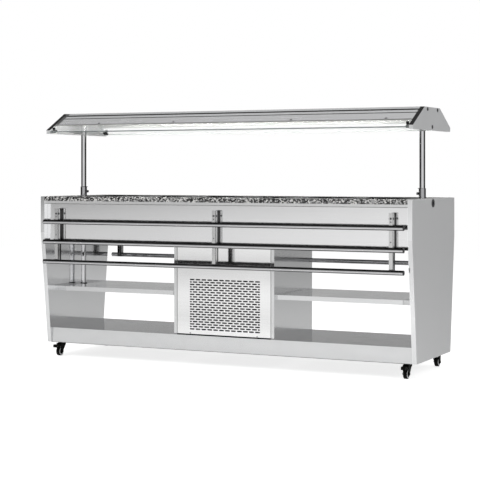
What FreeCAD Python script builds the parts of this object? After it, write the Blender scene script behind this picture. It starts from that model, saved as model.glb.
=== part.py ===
import FreeCAD, Part
import math
import os

os.makedirs("parts", exist_ok=True)
V = FreeCAD.Vector
along_x, along_y, along_z = V(1, 0, 0), V(0, 1, 0), V(0, 0, 1)

# The origin is on the floor under the middle of the table.
# X runs along the counter, Y runs from the guest side to the staff side, Z is up.

# Sheet metal and fits
sheet = 1.5
seam = 0.3
overrun = 5.0
pin_clearance = 0.05
sleeve_clearance = 0.08

# End panels
table_length = 2200.0
end_thickness = 25.0
end_top_depth = 700.0
end_taper = 70.0
end_knee_height = 703.0
end_foot_height = 78.0
end_edge_radius = 2.5

# Stone counter and the frame under it
counter_height = 905.0
stone_thickness = 25.0
stone_setback = 4.0
stone_edge_radius = 3.0
cutout_end_margin = 122.5
cutout_side_margin = 91.0
cutout_corner = 12.0
frame_setback = 9.0
frame_lip = 14.0

# Cold well
pan_count = 6
well_ledge = 10.0
well_floor_height = 700.0
well_corner = 30.0
well_rim_end = 27.5
well_rim_side = 35.0
pan_bar_width = 14.0
pan_bar_end_gap = 0.5
coil_radius = 5.0
coil_end_gap = 77.5
coil_side_gap = 55.0
coil_runs = 6
coil_lead_x = 270.0
coil_lead_drop = 30.0
coil_bend_share = 0.375
foam_end_gap = 69.0
foam_floor_drop = 13.0
foam_hole_gap = 4.0
drain_x = -150.0
drain_flange_radius = 30.0
drain_flange = 2.0
drain_radius = 16.0
drain_bore_radius = 13.0
drain_drop = 50.0

# Skirts round the well
skirt_setback = 32.0
skirt_drop = 50.0
skirt_return = 20.0

# Base
deck_height = 160.0
deck_setback = 8.0
apron_return = 10.0
cross_width = 76.0
cross_bottom = 80.0

# Machine compartment
machine_width = 600.0
machine_front_setback = 27.0
machine_rear_setback = 4.0
machine_flange = 19.0
cover_return = 12.0
slot_length = 28.3
slot_height = 7.5
half_slot_length = 12.0
slot_pitch = 35.6
slot_columns = 12
slot_row_pitch = 13.4
grille_rows = 21
grille_bottom = 187.2
grille_shift = 7.0
rear_vent_rows = 13
rear_vent_bottom = 200.0

# Cooling machine
compressor_x = -160.0
compressor_y = 60.0
compressor_radius = 75.0
compressor_bottom = 181.0
compressor_height = 125.0
compressor_dome = 45.0
compressor_base = 3.0
compressor_base_length = 200.0
compressor_base_width = 130.0
grommet_radius = 11.0
grommet_inset = 16.0
terminal_box_width = 44.0
terminal_box_depth = 30.0
terminal_box_height = 70.0
condenser_left = -60.0
condenser_right = 240.0
condenser_setback = 20.0
condenser_depth = 55.0
condenser_top = 430.0
fin_bottom = 172.0
fin_thickness = 0.8
fin_count = 36
condenser_tube_radius = 4.5
condenser_tube_rows = 6
condenser_tube_shares = (0.3, 0.7)
shroud_gap = 12.0
shroud_top = 440.0
fan_x = 90.0
fan_height = 300.0
fan_hole_radius = 108.0
blade_tip_radius = 102.0
blade_width = 62.0
blade_thickness = 1.5
blade_count = 5
blade_pitch_angle = 28.0
fan_hub_radius = 22.0
fan_hub_length = 24.0
fan_offset = 26.0
fan_shaft_radius = 3.0
fan_shaft_length = 40.0
motor_radius = 42.0
motor_length = 62.0
motor_gap = 8.0
strut_width = 12.0
strut_count = 3
pipe_radius = 4.0
pipe_bend = 22.0
pipe_height = 400.0
discharge_rise = 119.0
suction_drop = 120.0
suction_port = 260.0
drier_radius = 12.0
drier_gap = 60.0
drier_length = 110.0

# Controls
bezel_thickness = 2.5
rocker_radius = 9.0
rocker_width = 13.0
rocker_drop = 5.5
rocker_swing = 9.0
rocker_gap = 0.4
switch_wall = 1.5
switch_depth = 17.0
switch_hole_gap = 0.3
bezel_length = 34.0
bezel_width = 24.0
lamp_switch_y = -22.0
lamp_switch_height = 881.0
lamp_bezel_radius = 21.0
control_height = 500.0
power_switch_x = -90.0
thermostat_x = -170.0
thermostat_bezel_radius = 30.0
knob_radius = 19.0
knob_length = 17.0
knob_shaft_radius = 3.0
knob_shaft_length = 14.0
pointer_width = 4.0
thermostat_body = 44.0
thermostat_body_depth = 26.0
gland_x = 210.0
gland_height = 425.0
gland_radius = 11.0
gland_length = 22.0
gland_bore_radius = 5.0
gland_nut_radius = 16.0
gland_nut = 6.0

# Shelves
shelf_height = 393.0
shelf_setback = 50.0
shelf_lip = 24.0
shelf_inner_gap = 13.0
shelf_end_gap = 66.0
shelf_ledge = 24.0
bracket_setback = 6.0

# Posts and their collars
post_inset = 65.0
post_radius = 15.0
post_wall = 2.0
post_hole_gap = 3.0
foot_radius = 19.0
foot_thickness = 4.0
foot_plug_length = 18.0
foot_plug_gap = 0.2
head_length = 60.0
head_width = 70.0
head_thickness = 5.0
collar_radius = 18.5
collar_height = 52.0
spigot_radius = 17.3
spigot_bottom = 864.0
spigot_hole_gap = 0.4
collar_nut_radius = 24.0
collar_nut = 8.0
thumb_height = 25.0
thumb_shaft_radius = 3.0
thumb_head_radius = 7.0
thumb_head_length = 11.0
thumb_head_gap = 1.0
thumb_tip_gap = 0.3
thumb_grooves = 10
thumb_groove_radius = 1.2

# Canopy
canopy_inset = 11.0
canopy_end_thickness = 21.5
canopy_top = 1377.6
canopy_brow = 1279.7
canopy_bottom = 1258.5
canopy_top_width = 253.2
canopy_width = 617.0
canopy_end_seal = 1.5
roof_thickness = 4.0
roof_width = 500.0
roof_rim_width = 12.0
roof_rim_depth = 7.5
strip_start = 23.5
strip_width = 15.0
strip_depth = 1.5
line_start = 63.5
line_width = 8.0
line_depth = 1.0
glass_depth = 7.9
glass_thickness = 8.0
glass_top_width = 427.0
glass_low_width = 619.0
glass_side_gap = 1.0
clamp_width = 574.0
clamp_inset = 14.0
lug_length = 22.0
lug_thickness = 9.0
clamp_knob_radius = 8.0
clamp_knob_height = 11.0
lamp_end_gap = 209.0
lamp_width = 64.0
lamp_height = 24.0
lamp_tube_radius = 13.0
lamp_tube_drop = 20.0
lamp_holder_thickness = 20.0
lamp_holder_width = 30.0

# Tray slides
rail_radius = 12.5
rail_wall = 1.5
rail_inset = 39.0
rail_standoff = 22.0
rail_heights = (763.0, 652.0, 541.0)
arm_inset = 110.0
arm_width = 20.5
arm_wall = 1.5
arm_depth = 35.0
arm_top = 838.0
arm_bottom = 532.0
pivot_inset = 9.5
pivot_height = 809.0
pivot_radius = 4.0
pivot_head_radius = 6.0
pivot_head = 2.0
leg_width = 15.5
leg_wall = 2.0
leg_bottom = 690.0
leg_depth = 10.0
leg_ear_radius = 7.4
leg_stop_bottom = 702.0
leg_stop_height = 12.0

# Castors
castor_end_inset = 65.0
castor_side_inset = 50.0
castor_trail = 22.0
wheel_radius = 25.0
wheel_width = 21.0
wheel_rounding = 3.0
wheel_hub_radius = 17.0
wheel_dish = 2.5
axle_radius = 4.0
axle_head_radius = 6.5
axle_head = 3.0
castor_plate = 60.0
castor_plate_thickness = 3.0
race_radius = 21.0
race_thickness = 6.0
race_gap = 0.4
crown_radius = 22.0
crown_thickness = 9.0
kingpin_radius = 5.0
kingpin_head_radius = 8.0
kingpin_head = 3.0
fork_gap = 2.5
fork_wall = 3.0
fork_front = 15.0
fork_nose_radius = 8.0
pedal_pivot_trail = 28.0
pedal_pivot_height = 57.0
pedal_pivot_radius = 2.5
pedal_boss_radius = 5.0
pedal_reach = 44.0
pedal_thickness = 4.0
pedal_tip_length = 20.0
pedal_tip_rise = 4.0
pedal_tip_height = 16.0
pedal_side_gap = 0.5
shoe_offset = 10.0
shoe_length = 8.0
shoe_height = 14.0

# Levels and widths that follow from the sizes above
inside_x = table_length / 2 - end_thickness
end_foot_depth = end_top_depth - 2 * end_taper
stone_depth = end_top_depth - 2 * stone_setback
frame_depth = end_top_depth - 2 * frame_setback
cutout_length = table_length - 2 * cutout_end_margin
cutout_depth = stone_depth - 2 * cutout_side_margin
stone_bottom = counter_height - stone_thickness
frame_bottom = stone_bottom - sheet
well_inner_x = cutout_length / 2 - well_ledge
well_inner_y = cutout_depth / 2 - well_ledge
well_rim_length = cutout_length + 2 * well_rim_end
well_rim_depth = cutout_depth + 2 * well_rim_side
coil_run_length = cutout_length - 2 * coil_end_gap
coil_pitch = (cutout_depth - 2 * coil_side_gap) / (coil_runs - 1)
coil_lead_bend = coil_pitch * coil_bend_share
foam_half_length = inside_x - foam_end_gap
foam_floor_height = well_floor_height - foam_floor_drop
skirt_y = end_top_depth / 2 - skirt_setback
skirt_bottom = well_floor_height - skirt_drop
coil_lead_bottom = skirt_bottom - coil_lead_drop
drain_bottom = skirt_bottom - drain_drop
underside_height = skirt_bottom + sheet
deck_depth = end_foot_depth - 2 * deck_setback
machine_x = machine_width / 2
machine_front = machine_front_setback - deck_depth / 2
machine_rear = deck_depth / 2 - machine_rear_setback
cover_x = machine_x - machine_flange - seam
shelf_depth = end_foot_depth - 2 * shelf_setback
shelf_inner_x = machine_x + shelf_inner_gap
shelf_outer_x = inside_x - shelf_end_gap
post_x = table_length / 2 - post_inset
canopy_length = table_length - 2 * canopy_inset
lamp_length = canopy_length - 2 * lamp_end_gap
canopy_inner_x = canopy_length / 2 - canopy_end_thickness
canopy_top_y = canopy_top_width / 2
canopy_y = canopy_width / 2
slope_run = canopy_y - canopy_top_y
slope_drop = canopy_top - canopy_brow
slope_length = math.hypot(slope_run, slope_drop)
slope_cos = slope_run / slope_length
slope_sin = slope_drop / slope_length
roof_under = canopy_top - roof_thickness
rail_length = table_length - 2 * rail_inset
rail_y = end_top_depth / 2 + rail_standoff
arm_spacing = table_length / 2 - arm_inset
arm_face = rail_y - rail_radius
pivot_y = arm_face - pivot_inset
castor_x = table_length / 2 - castor_end_inset
castor_y = end_foot_depth / 2 - castor_side_inset
condenser_front = machine_front + condenser_setback
shroud_y = condenser_front + condenser_depth + shroud_gap
fan_y = shroud_y + fan_offset
motor_y = fan_y + fan_hub_length / 2 + motor_gap
discharge_top = compressor_bottom + compressor_height + compressor_dome + discharge_rise
suction_level = coil_lead_bottom - suction_drop
drier_bottom = coil_lead_bottom - drier_gap - drier_length


def slab(x0, x1, y0, y1, z0, z1):
    return Part.makeBox(x1 - x0, y1 - y0, z1 - z0, V(x0, y0, z0))


def rod(radius, length, start, axis):
    return Part.makeCylinder(radius, length, start, axis)


def fuse(shapes):
    return shapes[0].multiFuse(shapes[1:]).removeSplitter()


def cut(shape, tools):
    return shape.cut(Part.makeCompound(tools))


def prism(points, x0, x1):
    corners = [V(x0, y, z) for y, z in points]
    face = Part.Face(Part.makePolygon(corners + corners[:1]))
    return face.extrude(V(x1 - x0, 0, 0))


def rounded_slab(half_x, half_y, z0, z1, corner):
    block = slab(-half_x, half_x, -half_y, half_y, z0, z1)
    upright = [e for e in block.Edges if e.BoundBox.ZLength > (z1 - z0) / 2]
    return block.makeFillet(corner, upright)


def flip_x(shape):
    return shape.mirror(V(0, 0, 0), along_x)


def flip_y(shape):
    return shape.mirror(V(0, 0, 0), along_y)


def moved(shape, x, y, z):
    copy = shape.copy()
    copy.translate(V(x, y, z))
    return copy


def bent_pipe(points, radius, bend):
    points = [V(*p) for p in points]
    edges, start = [], points[0]
    for before, corner, after in zip(points, points[1:], points[2:]):
        arriving = (corner - before).normalize()
        leaving = (after - corner).normalize()
        turn = arriving.getAngle(leaving)
        reach = bend * math.tan(turn / 2)
        enter, leave = corner - arriving * reach, corner + leaving * reach
        inward = (leaving - arriving).normalize()
        middle = corner + inward * (bend / math.cos(turn / 2) - bend)
        edges.append(Part.makeLine(start, enter))
        edges.append(Part.Arc(enter, middle, leave).toShape())
        start = leave
    edges.append(Part.makeLine(start, points[-1]))
    ring = Part.Wire(Part.makeCircle(radius, points[0], points[1] - points[0]))
    return Part.Wire(edges).makePipeShell([ring], True, True)


def save(name, solids):
    shape = solids if isinstance(solids, Part.Shape) else Part.makeCompound(solids)
    shape.exportStep("parts/" + name + ".step")


# End panels: a folded tray outside, closed by a polished sheet inside

def end_outline(inset):
    top, foot = end_top_depth / 2, end_foot_depth / 2
    corners = [(top, counter_height), (top, end_knee_height), (foot, end_foot_height)]
    points = [V(0, y, z) for y, z in corners] + [V(0, -y, z) for y, z in corners[::-1]]
    wire = Part.makePolygon(points + points[:1])
    return wire if inset == 0 else wire.makeOffset2D(-inset, 2)


def end_block(inset, x0, x1):
    wire = end_outline(inset)
    wire.translate(V(x0, 0, 0))
    return Part.Face(wire).extrude(V(x1 - x0, 0, 0))


def end_panel():
    outside = table_length / 2
    tray = end_block(0, inside_x + sheet, outside)
    rim = [e for e in tray.Edges if e.BoundBox.XMin > outside - seam]
    tray = tray.makeFillet(end_edge_radius, rim)
    tray = tray.cut(end_block(sheet, inside_x + sheet, outside - sheet))
    return tray, end_block(0, inside_x, inside_x + sheet)


def left_end_panel():
    return [flip_x(piece) for piece in end_panel()]


def right_end_panel():
    tray, lining = end_panel()
    body = switch_body(switch_hole_gap)
    return [tray.cut(on_right_end(body)), lining]


# Counter: stone slab, frame, skirts and the well hanging between them

def stone_top():
    half = stone_depth / 2
    slab_shape = slab(-inside_x + seam, inside_x - seam, -half, half, stone_bottom, counter_height)
    long_edges = [e for e in slab_shape.Edges
                  if e.Length > stone_depth + overrun and e.BoundBox.ZMin > counter_height - seam]
    slab_shape = slab_shape.makeFillet(stone_edge_radius, long_edges)
    hole = rounded_slab(cutout_length / 2, cutout_depth / 2, stone_bottom - overrun,
                        counter_height + overrun, cutout_corner)
    return cut(slab_shape, [hole] + post_holes(spigot_radius + spigot_hole_gap))


def post_holes(radius):
    tall = canopy_top - deck_height
    return [rod(radius, tall, V(side * post_x, 0, deck_height), along_z) for side in (-1, 1)]


def counter_frame():
    end, half = inside_x - seam, frame_depth / 2
    plate = slab(-end, end, -half, half, frame_bottom, stone_bottom)
    hole = slab(-well_rim_length / 2 - seam, well_rim_length / 2 + seam,
                -well_rim_depth / 2 - seam, well_rim_depth / 2 + seam,
                frame_bottom - overrun, stone_bottom + overrun)
    lip = slab(-end, end, -half, sheet - half, stone_bottom - frame_lip, stone_bottom)
    ring = fuse([plate, lip, flip_y(lip)])
    return cut(ring, [hole] + post_holes(spigot_radius + spigot_hole_gap))


def cold_well():
    body = rounded_slab(well_inner_x + sheet, well_inner_y + sheet,
                        well_floor_height - sheet, stone_bottom, well_corner + sheet)
    rim = slab(-well_rim_length / 2, well_rim_length / 2, -well_rim_depth / 2,
               well_rim_depth / 2, frame_bottom, stone_bottom)
    hollow = rounded_slab(well_inner_x, well_inner_y, well_floor_height,
                          stone_bottom + overrun, well_corner)
    drain = rod(drain_radius + seam, overrun + overrun, V(drain_x, 0, well_floor_height - overrun),
                along_z)
    return cut(fuse([body, rim]), [hollow, drain])


def pan_bars():
    pitch = cutout_length / pan_count
    half = cutout_depth / 2 - pan_bar_end_gap
    outer = slab(-pan_bar_width / 2, pan_bar_width / 2, -half, half, stone_bottom, counter_height)
    inner = slab(sheet - pan_bar_width / 2, pan_bar_width / 2 - sheet, -half - overrun,
                 half + overrun, stone_bottom - overrun, counter_height - sheet)
    bar = outer.cut(inner)
    return [moved(bar, (i - pan_count / 2) * pitch, 0, 0) for i in range(1, pan_count)]


def evaporator_coil():
    level = well_floor_height - sheet - coil_radius
    first = -coil_pitch * (coil_runs - 1) / 2
    end = coil_run_length / 2
    points = [(coil_lead_x, first, coil_lead_bottom), (coil_lead_x, first, level)]
    for i in range(coil_runs):
        side = -end if i % 2 == 0 else end
        y = first + i * coil_pitch
        if i < coil_runs - 1:
            points += [(side, y, level), (side, y + coil_pitch, level)]
    points += [(coil_lead_x, -first, level), (coil_lead_x, -first, coil_lead_bottom)]
    return bent_pipe(points, coil_radius, coil_lead_bend)


def lead_holes(gap):
    y = coil_pitch * (coil_runs - 1) / 2
    tall = well_floor_height - coil_lead_bottom
    leads = [rod(coil_radius + gap, tall, V(coil_lead_x, side * y, coil_lead_bottom), along_z)
             for side in (-1, 1)]
    drain = rod(drain_radius + gap, well_floor_height - drain_bottom,
                V(drain_x, 0, drain_bottom), along_z)
    return leads + [drain]


def well_insulation():
    half_y = skirt_y - sheet - seam
    block = slab(-foam_half_length, foam_half_length, -half_y, half_y,
                 underside_height + sheet, frame_bottom - sheet)
    pocket = rounded_slab(well_inner_x + sheet + seam, well_inner_y + sheet + seam,
                          foam_floor_height, stone_bottom, well_corner + sheet + seam)
    elbow_y = coil_pitch * (coil_runs - 1) / 2 + coil_radius + foam_hole_gap
    elbows = slab(coil_lead_x - coil_lead_bend - coil_radius, coil_lead_x + coil_radius + foam_hole_gap,
                  -elbow_y, elbow_y, foam_floor_height - coil_lead_bend, foam_floor_height + seam)
    return cut(block, [pocket, elbows] + lead_holes(foam_hole_gap))


def drain_pipe():
    flange = rod(drain_flange_radius, drain_flange, V(drain_x, 0, well_floor_height), along_z)
    tail = rod(drain_radius, well_floor_height - drain_bottom, V(drain_x, 0, drain_bottom), along_z)
    bore = rod(drain_bore_radius, stone_bottom - drain_bottom,
               V(drain_x, 0, drain_bottom - overrun), along_z)
    return fuse([flange, tail]).cut(bore)


def front_skirt():
    end = inside_x - seam
    wall = slab(-end, end, -skirt_y, sheet - skirt_y, skirt_bottom, frame_bottom)
    top = slab(-end, end, -skirt_y, skirt_return - skirt_y, frame_bottom - sheet, frame_bottom)
    low = slab(-end, end, -skirt_y, skirt_return - skirt_y, skirt_bottom, underside_height)
    return fuse([wall, top, low])


def well_underside():
    end, half = inside_x - seam, skirt_y - sheet - seam
    plate = slab(-end, end, -half, half, underside_height, underside_height + sheet)
    return cut(plate, post_holes(post_radius + post_hole_gap) + lead_holes(seam))


# Base: deck with folded aprons, carried on cross channels over the castors

def base_deck():
    end, half = inside_x - seam, deck_depth / 2
    plate = slab(-end, end, -half, half, deck_height - sheet, deck_height)
    apron = slab(-end, end, -half, sheet - half, end_foot_height, deck_height)
    fold = slab(-end, end, -half, apron_return - half, end_foot_height, end_foot_height + sheet)
    return fuse([plate, apron, fold, flip_y(apron), flip_y(fold)])


def base_frame():
    half = deck_depth / 2 - sheet - seam
    outer = slab(-cross_width / 2, cross_width / 2, -half, half, cross_bottom, deck_height - sheet)
    inner = slab(sheet - cross_width / 2, cross_width / 2 - sheet, -half - overrun, half + overrun,
                 cross_bottom + sheet, deck_height)
    channel = outer.cut(inner)
    places = (-castor_x, -machine_x, machine_x, castor_x)
    return [moved(channel, x, 0, 0) for x in places]


# Machine compartment: two folded side walls, slotted covers front and rear

def machine_wall():
    top = underside_height
    side = slab(machine_x - sheet, machine_x, machine_front, machine_rear, deck_height, top)
    front = slab(machine_x - machine_flange, machine_x, machine_front, machine_front + sheet,
                 deck_height, top)
    rear = slab(machine_x - machine_flange, machine_x, machine_rear - sheet, machine_rear,
                deck_height, top)
    return fuse([side, front, rear])


def slot_wire(x, z, length, y):
    run, r = (length - slot_height) / 2, slot_height / 2
    corners = [V(x - run, y, z - r), V(x + run, y, z - r), V(x + run, y, z + r), V(x - run, y, z + r)]
    return Part.Wire([Part.makeLine(corners[0], corners[1]),
                      Part.Arc(corners[1], V(x + run + r, y, z), corners[2]).toShape(),
                      Part.makeLine(corners[2], corners[3]),
                      Part.Arc(corners[3], V(x - run - r, y, z), corners[0]).toShape()])


def slot_rows(bottom, rows, y, shift):
    wires = []
    edge = ((slot_columns - 1) * slot_pitch + slot_length) / 2
    for row in range(rows):
        z = bottom + slot_height / 2 + row * slot_row_pitch
        columns = slot_columns - row % 2
        for i in range(columns):
            wires.append(slot_wire(shift + (i - (columns - 1) / 2) * slot_pitch, z, slot_length, y))
        if row % 2:
            for side in (-1, 1):
                x = shift + side * (edge - half_slot_length / 2)
                wires.append(slot_wire(x, z, half_slot_length, y))
    return wires


def machine_cover(y, inward, bottom, rows, shift):
    low, high = deck_height + seam, underside_height - seam
    corners = [V(-cover_x, y, low), V(cover_x, y, low), V(cover_x, y, high), V(-cover_x, y, high)]
    holes = slot_rows(bottom, rows, y, shift)
    plate = Part.Face(Part.makePolygon(corners + corners[:1])).extrude(V(0, inward * sheet, 0))
    slots = [Part.Face(w).extrude(V(0, inward * sheet, 0)) for w in holes]
    plate = cut(plate, slots)
    y0, y1 = sorted((y, y + inward * cover_return))
    folds = [slab(*sorted((side * cover_x, side * (cover_x - sheet))), y0, y1, low, high)
             for side in (-1, 1)]
    return fuse([plate] + folds)


def grille_panel():
    return machine_cover(machine_front, 1, grille_bottom, grille_rows, grille_shift)


def machine_rear_panel():
    cover = machine_cover(machine_rear, -1, rear_vent_bottom, rear_vent_rows, 0)
    shaft = rod(knob_shaft_radius + seam, overrun + overrun,
                V(thermostat_x, machine_rear + overrun, control_height), -along_y)
    gland = rod(gland_radius + seam, overrun + overrun,
                V(gland_x, machine_rear + overrun, gland_height), -along_y)
    return cut(cover, [on_rear_panel(switch_body(switch_hole_gap)), shaft, gland])


# Cooling machine

def compressor():
    start = V(compressor_x, compressor_y, compressor_bottom)
    can = rod(compressor_radius, compressor_height, start, along_z)
    rims = [e for e in can.Edges if e.BoundBox.ZLength < seam]
    top = [e for e in rims if e.BoundBox.ZMin > compressor_bottom + seam]
    can = can.makeFillet(compressor_dome, top)
    base_bottom = compressor_bottom - compressor_base
    half_x, half_y = compressor_base_length / 2, compressor_base_width / 2
    base = slab(compressor_x - half_x, compressor_x + half_x, compressor_y - half_y,
                compressor_y + half_y, base_bottom, compressor_bottom)
    box_y = compressor_y - compressor_radius - terminal_box_depth / 2
    box = slab(compressor_x - terminal_box_width / 2, compressor_x + terminal_box_width / 2,
               box_y, compressor_y - compressor_radius / 2, compressor_bottom + compressor_base,
               compressor_bottom + compressor_base + terminal_box_height)
    feet = [rod(grommet_radius, base_bottom - deck_height,
                V(compressor_x + sx * (half_x - grommet_inset),
                  compressor_y + sy * (half_y - grommet_inset), deck_height), along_z)
            for sx in (-1, 1) for sy in (-1, 1)]
    return [fuse([can, base, box])] + feet


def condenser():
    rear = condenser_front + condenser_depth
    plates = [slab(x, x + sheet, condenser_front, rear, deck_height, condenser_top)
              for x in (condenser_left, condenser_right - sheet)]
    pitch = (condenser_right - condenser_left) / (fin_count + 1)
    fins = [slab(condenser_left + i * pitch, condenser_left + i * pitch + fin_thickness,
                 condenser_front, rear, fin_bottom, condenser_top) for i in range(1, fin_count + 1)]
    row_pitch = (condenser_top - fin_bottom) / condenser_tube_rows
    tubes = [rod(condenser_tube_radius, condenser_right - condenser_left,
                 V(condenser_left, condenser_front + condenser_depth * share,
                   fin_bottom + (row + 0.5) * row_pitch), along_x)
             for row in range(condenser_tube_rows) for share in condenser_tube_shares]
    return fuse(plates + fins + tubes)


def fan_unit():
    face = shroud_y
    plate = slab(condenser_left, condenser_right, face, face + sheet, deck_height, shroud_top)
    hole = rod(fan_hole_radius, overrun + overrun, V(fan_x, face - overrun, fan_height), along_y)
    plate = plate.cut(hole)
    rear = condenser_front + condenser_depth
    sides = [slab(x, x + sheet, rear, face, deck_height, shroud_top)
             for x in (condenser_left, condenser_right - sheet)]
    lid = slab(condenser_left, condenser_right, rear, face, shroud_top - sheet, shroud_top)
    shroud = fuse([plate, lid] + sides)
    motor = rod(motor_radius, motor_length, V(fan_x, motor_y, fan_height), along_y)
    end = motor_y + motor_length
    back, foot = [], []
    reach = fan_hole_radius + strut_width
    for i in range(strut_count):
        spin = 360 * i / strut_count
        arm = slab(-strut_width / 2, strut_width / 2, end - sheet, end, 0, reach)
        leg = slab(-strut_width / 2, strut_width / 2, face + sheet, end, reach - sheet, reach)
        for piece, group in ((arm, back), (leg, foot)):
            piece.rotate(V(0, 0, 0), along_y, spin)
            group.append(moved(piece, fan_x, 0, fan_height))
    motor = fuse([motor] + back + foot)
    bore = rod(fan_shaft_radius + pin_clearance, motor_length / 2 + overrun,
               V(fan_x, motor_y - overrun, fan_height), along_y)
    return [shroud, motor.cut(bore)]


def fan_blades():
    centre = V(fan_x, fan_y - fan_hub_length / 2, fan_height)
    hub = rod(fan_hub_radius, fan_hub_length, centre, along_y)
    shaft = rod(fan_shaft_radius, fan_shaft_length, centre, along_y)
    blades = []
    for i in range(blade_count):
        blade = slab(-blade_width / 2, blade_width / 2, -blade_thickness / 2, blade_thickness / 2,
                     fan_hub_radius / 2, blade_tip_radius)
        blade.rotate(V(0, 0, 0), along_z, blade_pitch_angle)
        blade.rotate(V(0, 0, 0), along_y, 360 * i / blade_count)
        blades.append(moved(blade, fan_x, fan_y, fan_height))
    tip = rod(blade_tip_radius, condenser_depth, V(fan_x, fan_y - condenser_depth / 2, fan_height),
              along_y)
    return fuse([hub, shaft] + [b.common(tip) for b in blades])


def refrigerant_pipes():
    lead_y = coil_pitch * (coil_runs - 1) / 2
    drier_top = drier_bottom + drier_length
    low = bent_pipe([(condenser_right, -lead_y, pipe_height), (coil_lead_x, -lead_y, pipe_height),
                     (coil_lead_x, -lead_y, drier_bottom)], pipe_radius, pipe_bend)
    drier = rod(drier_radius, drier_length, V(coil_lead_x, -lead_y, drier_bottom), along_z)
    high = rod(pipe_radius, coil_lead_bottom - drier_top, V(coil_lead_x, -lead_y, drier_top), along_z)
    wall = compressor_y + compressor_radius
    suction = bent_pipe([(coil_lead_x, lead_y, coil_lead_bottom), (coil_lead_x, lead_y, suction_level),
                         (compressor_x, lead_y, suction_level), (compressor_x, lead_y, suction_port),
                         (compressor_x, wall, suction_port)], pipe_radius, pipe_bend)
    crown = compressor_bottom + compressor_height
    discharge = bent_pipe([(compressor_x, compressor_y, crown),
                           (compressor_x, compressor_y, discharge_top),
                           (compressor_x, -lead_y, discharge_top),
                           (compressor_x, -lead_y, pipe_height),
                           (condenser_left, -lead_y, pipe_height)], pipe_radius, pipe_bend)
    return [low, drier, high, suction, discharge]


# Switches are drawn lying face up round the origin, then set into their panels

def on_right_end(shape):
    copy = shape.copy()
    copy.rotate(V(0, 0, 0), along_y, 90)
    return moved(copy, table_length / 2, lamp_switch_y, lamp_switch_height)


def on_rear_panel(shape):
    copy = shape.copy()
    copy.rotate(V(0, 0, 0), along_x, -90)
    return moved(copy, power_switch_x, machine_rear, control_height)


def switch_body(gap):
    half_x = rocker_width / 2 + rocker_gap + switch_wall + gap
    half_y = rocker_radius + rocker_gap + switch_wall + gap
    return slab(-half_x, half_x, -half_y, half_y, -switch_depth, 0)


def switch_hollow():
    half_x, half_y = rocker_width / 2 + rocker_gap, rocker_radius + rocker_gap
    return slab(-half_x, half_x, -half_y, half_y, switch_wall - switch_depth, overrun)


def rocker():
    drum = rod(rocker_radius, rocker_width, V(-rocker_width / 2, 0, -rocker_drop), along_x)
    rise = rocker_radius * math.tan(math.radians(rocker_swing))
    top = rocker_radius + overrun
    notch = prism([(-rocker_radius, rise), (0, 0), (rocker_radius, rise), (rocker_radius, top),
                   (-rocker_radius, top)], -rocker_width, rocker_width)
    drum = drum.cut(notch)
    drum.rotate(V(0, 0, -rocker_drop), along_x, -rocker_swing)
    return drum


def control_fittings():
    lamp_plate = rod(lamp_bezel_radius, bezel_thickness, V(0, 0, 0), along_z)
    power_plate = slab(-bezel_width / 2, bezel_width / 2, -bezel_length / 2, bezel_length / 2,
                       0, bezel_thickness)
    lamp = on_right_end(fuse([lamp_plate, switch_body(0)]).cut(switch_hollow()))
    power = on_rear_panel(fuse([power_plate, switch_body(0)]).cut(switch_hollow()))
    centre = V(thermostat_x, machine_rear, control_height)
    dial = rod(thermostat_bezel_radius, bezel_thickness, centre, along_y)
    half = thermostat_body / 2
    inner_face = machine_rear - sheet
    body = slab(thermostat_x - half, thermostat_x + half, inner_face - thermostat_body_depth,
                inner_face, control_height - half, control_height + half)
    bore = rod(knob_shaft_radius + pin_clearance, knob_shaft_length + overrun,
               centre + along_y * (bezel_thickness + seam), -along_y)
    gland = rod(gland_radius, gland_length + sheet + gland_nut,
                V(gland_x, inner_face - gland_nut, gland_height), along_y)
    nuts = [rod(gland_nut_radius, gland_nut, V(gland_x, y, gland_height), along_y)
            for y in (inner_face - gland_nut, machine_rear)]
    hole = rod(gland_bore_radius, gland_length + thermostat_body,
               V(gland_x, inner_face - thermostat_body / 2, gland_height), along_y)
    return [lamp, power, dial.cut(bore), body.cut(bore), fuse([gland] + nuts).cut(hole)]


def lamp_rocker():
    return on_right_end(rocker())


def power_rocker():
    return on_rear_panel(rocker())


def thermostat_knob():
    start = V(thermostat_x, machine_rear + bezel_thickness + seam, control_height)
    grip = rod(knob_radius, knob_length, start, along_y)
    shaft = rod(knob_shaft_radius, knob_shaft_length, start, -along_y)
    face = start.y + knob_length
    groove = slab(thermostat_x - pointer_width / 2, thermostat_x + pointer_width / 2, face - sheet,
                  face + overrun, control_height, control_height + knob_radius + overrun)
    return fuse([grip, shaft]).cut(groove)


# Shelves hang between brackets on the end panels and on the machine walls

def right_shelf():
    half, low = shelf_depth / 2, shelf_height - shelf_lip
    outer = slab(shelf_inner_x + seam, shelf_outer_x - seam, -half, half, low, shelf_height)
    inner = slab(shelf_inner_x + seam + sheet, shelf_outer_x - seam - sheet, sheet - half,
                 half - sheet, low - overrun, shelf_height - sheet)
    return outer.cut(inner)


def shelf_bracket(wall, edge, reach):
    half, low = shelf_depth / 2 - bracket_setback, shelf_height - shelf_lip
    back = slab(*sorted((wall, wall + math.copysign(sheet, edge - wall))), -half, half,
                low - sheet, shelf_height)
    top = slab(*sorted((wall, edge)), -half, half, shelf_height - sheet, shelf_height)
    ledge = slab(*sorted((wall, reach)), -half, half, low - sheet, low)
    lips = [slab(*sorted((wall, edge)), *sorted((side * half, side * (half - sheet))), low, shelf_height)
            for side in (-1, 1)]
    return fuse([back, top, ledge] + lips)


def shelf_brackets():
    outer = shelf_bracket(inside_x, shelf_outer_x, shelf_outer_x - shelf_ledge)
    inner = shelf_bracket(machine_x, shelf_inner_x, shelf_inner_x + shelf_ledge)
    return [outer, inner, flip_x(outer), flip_x(inner)]


# Posts slide through clamp collars on the stone

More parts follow.
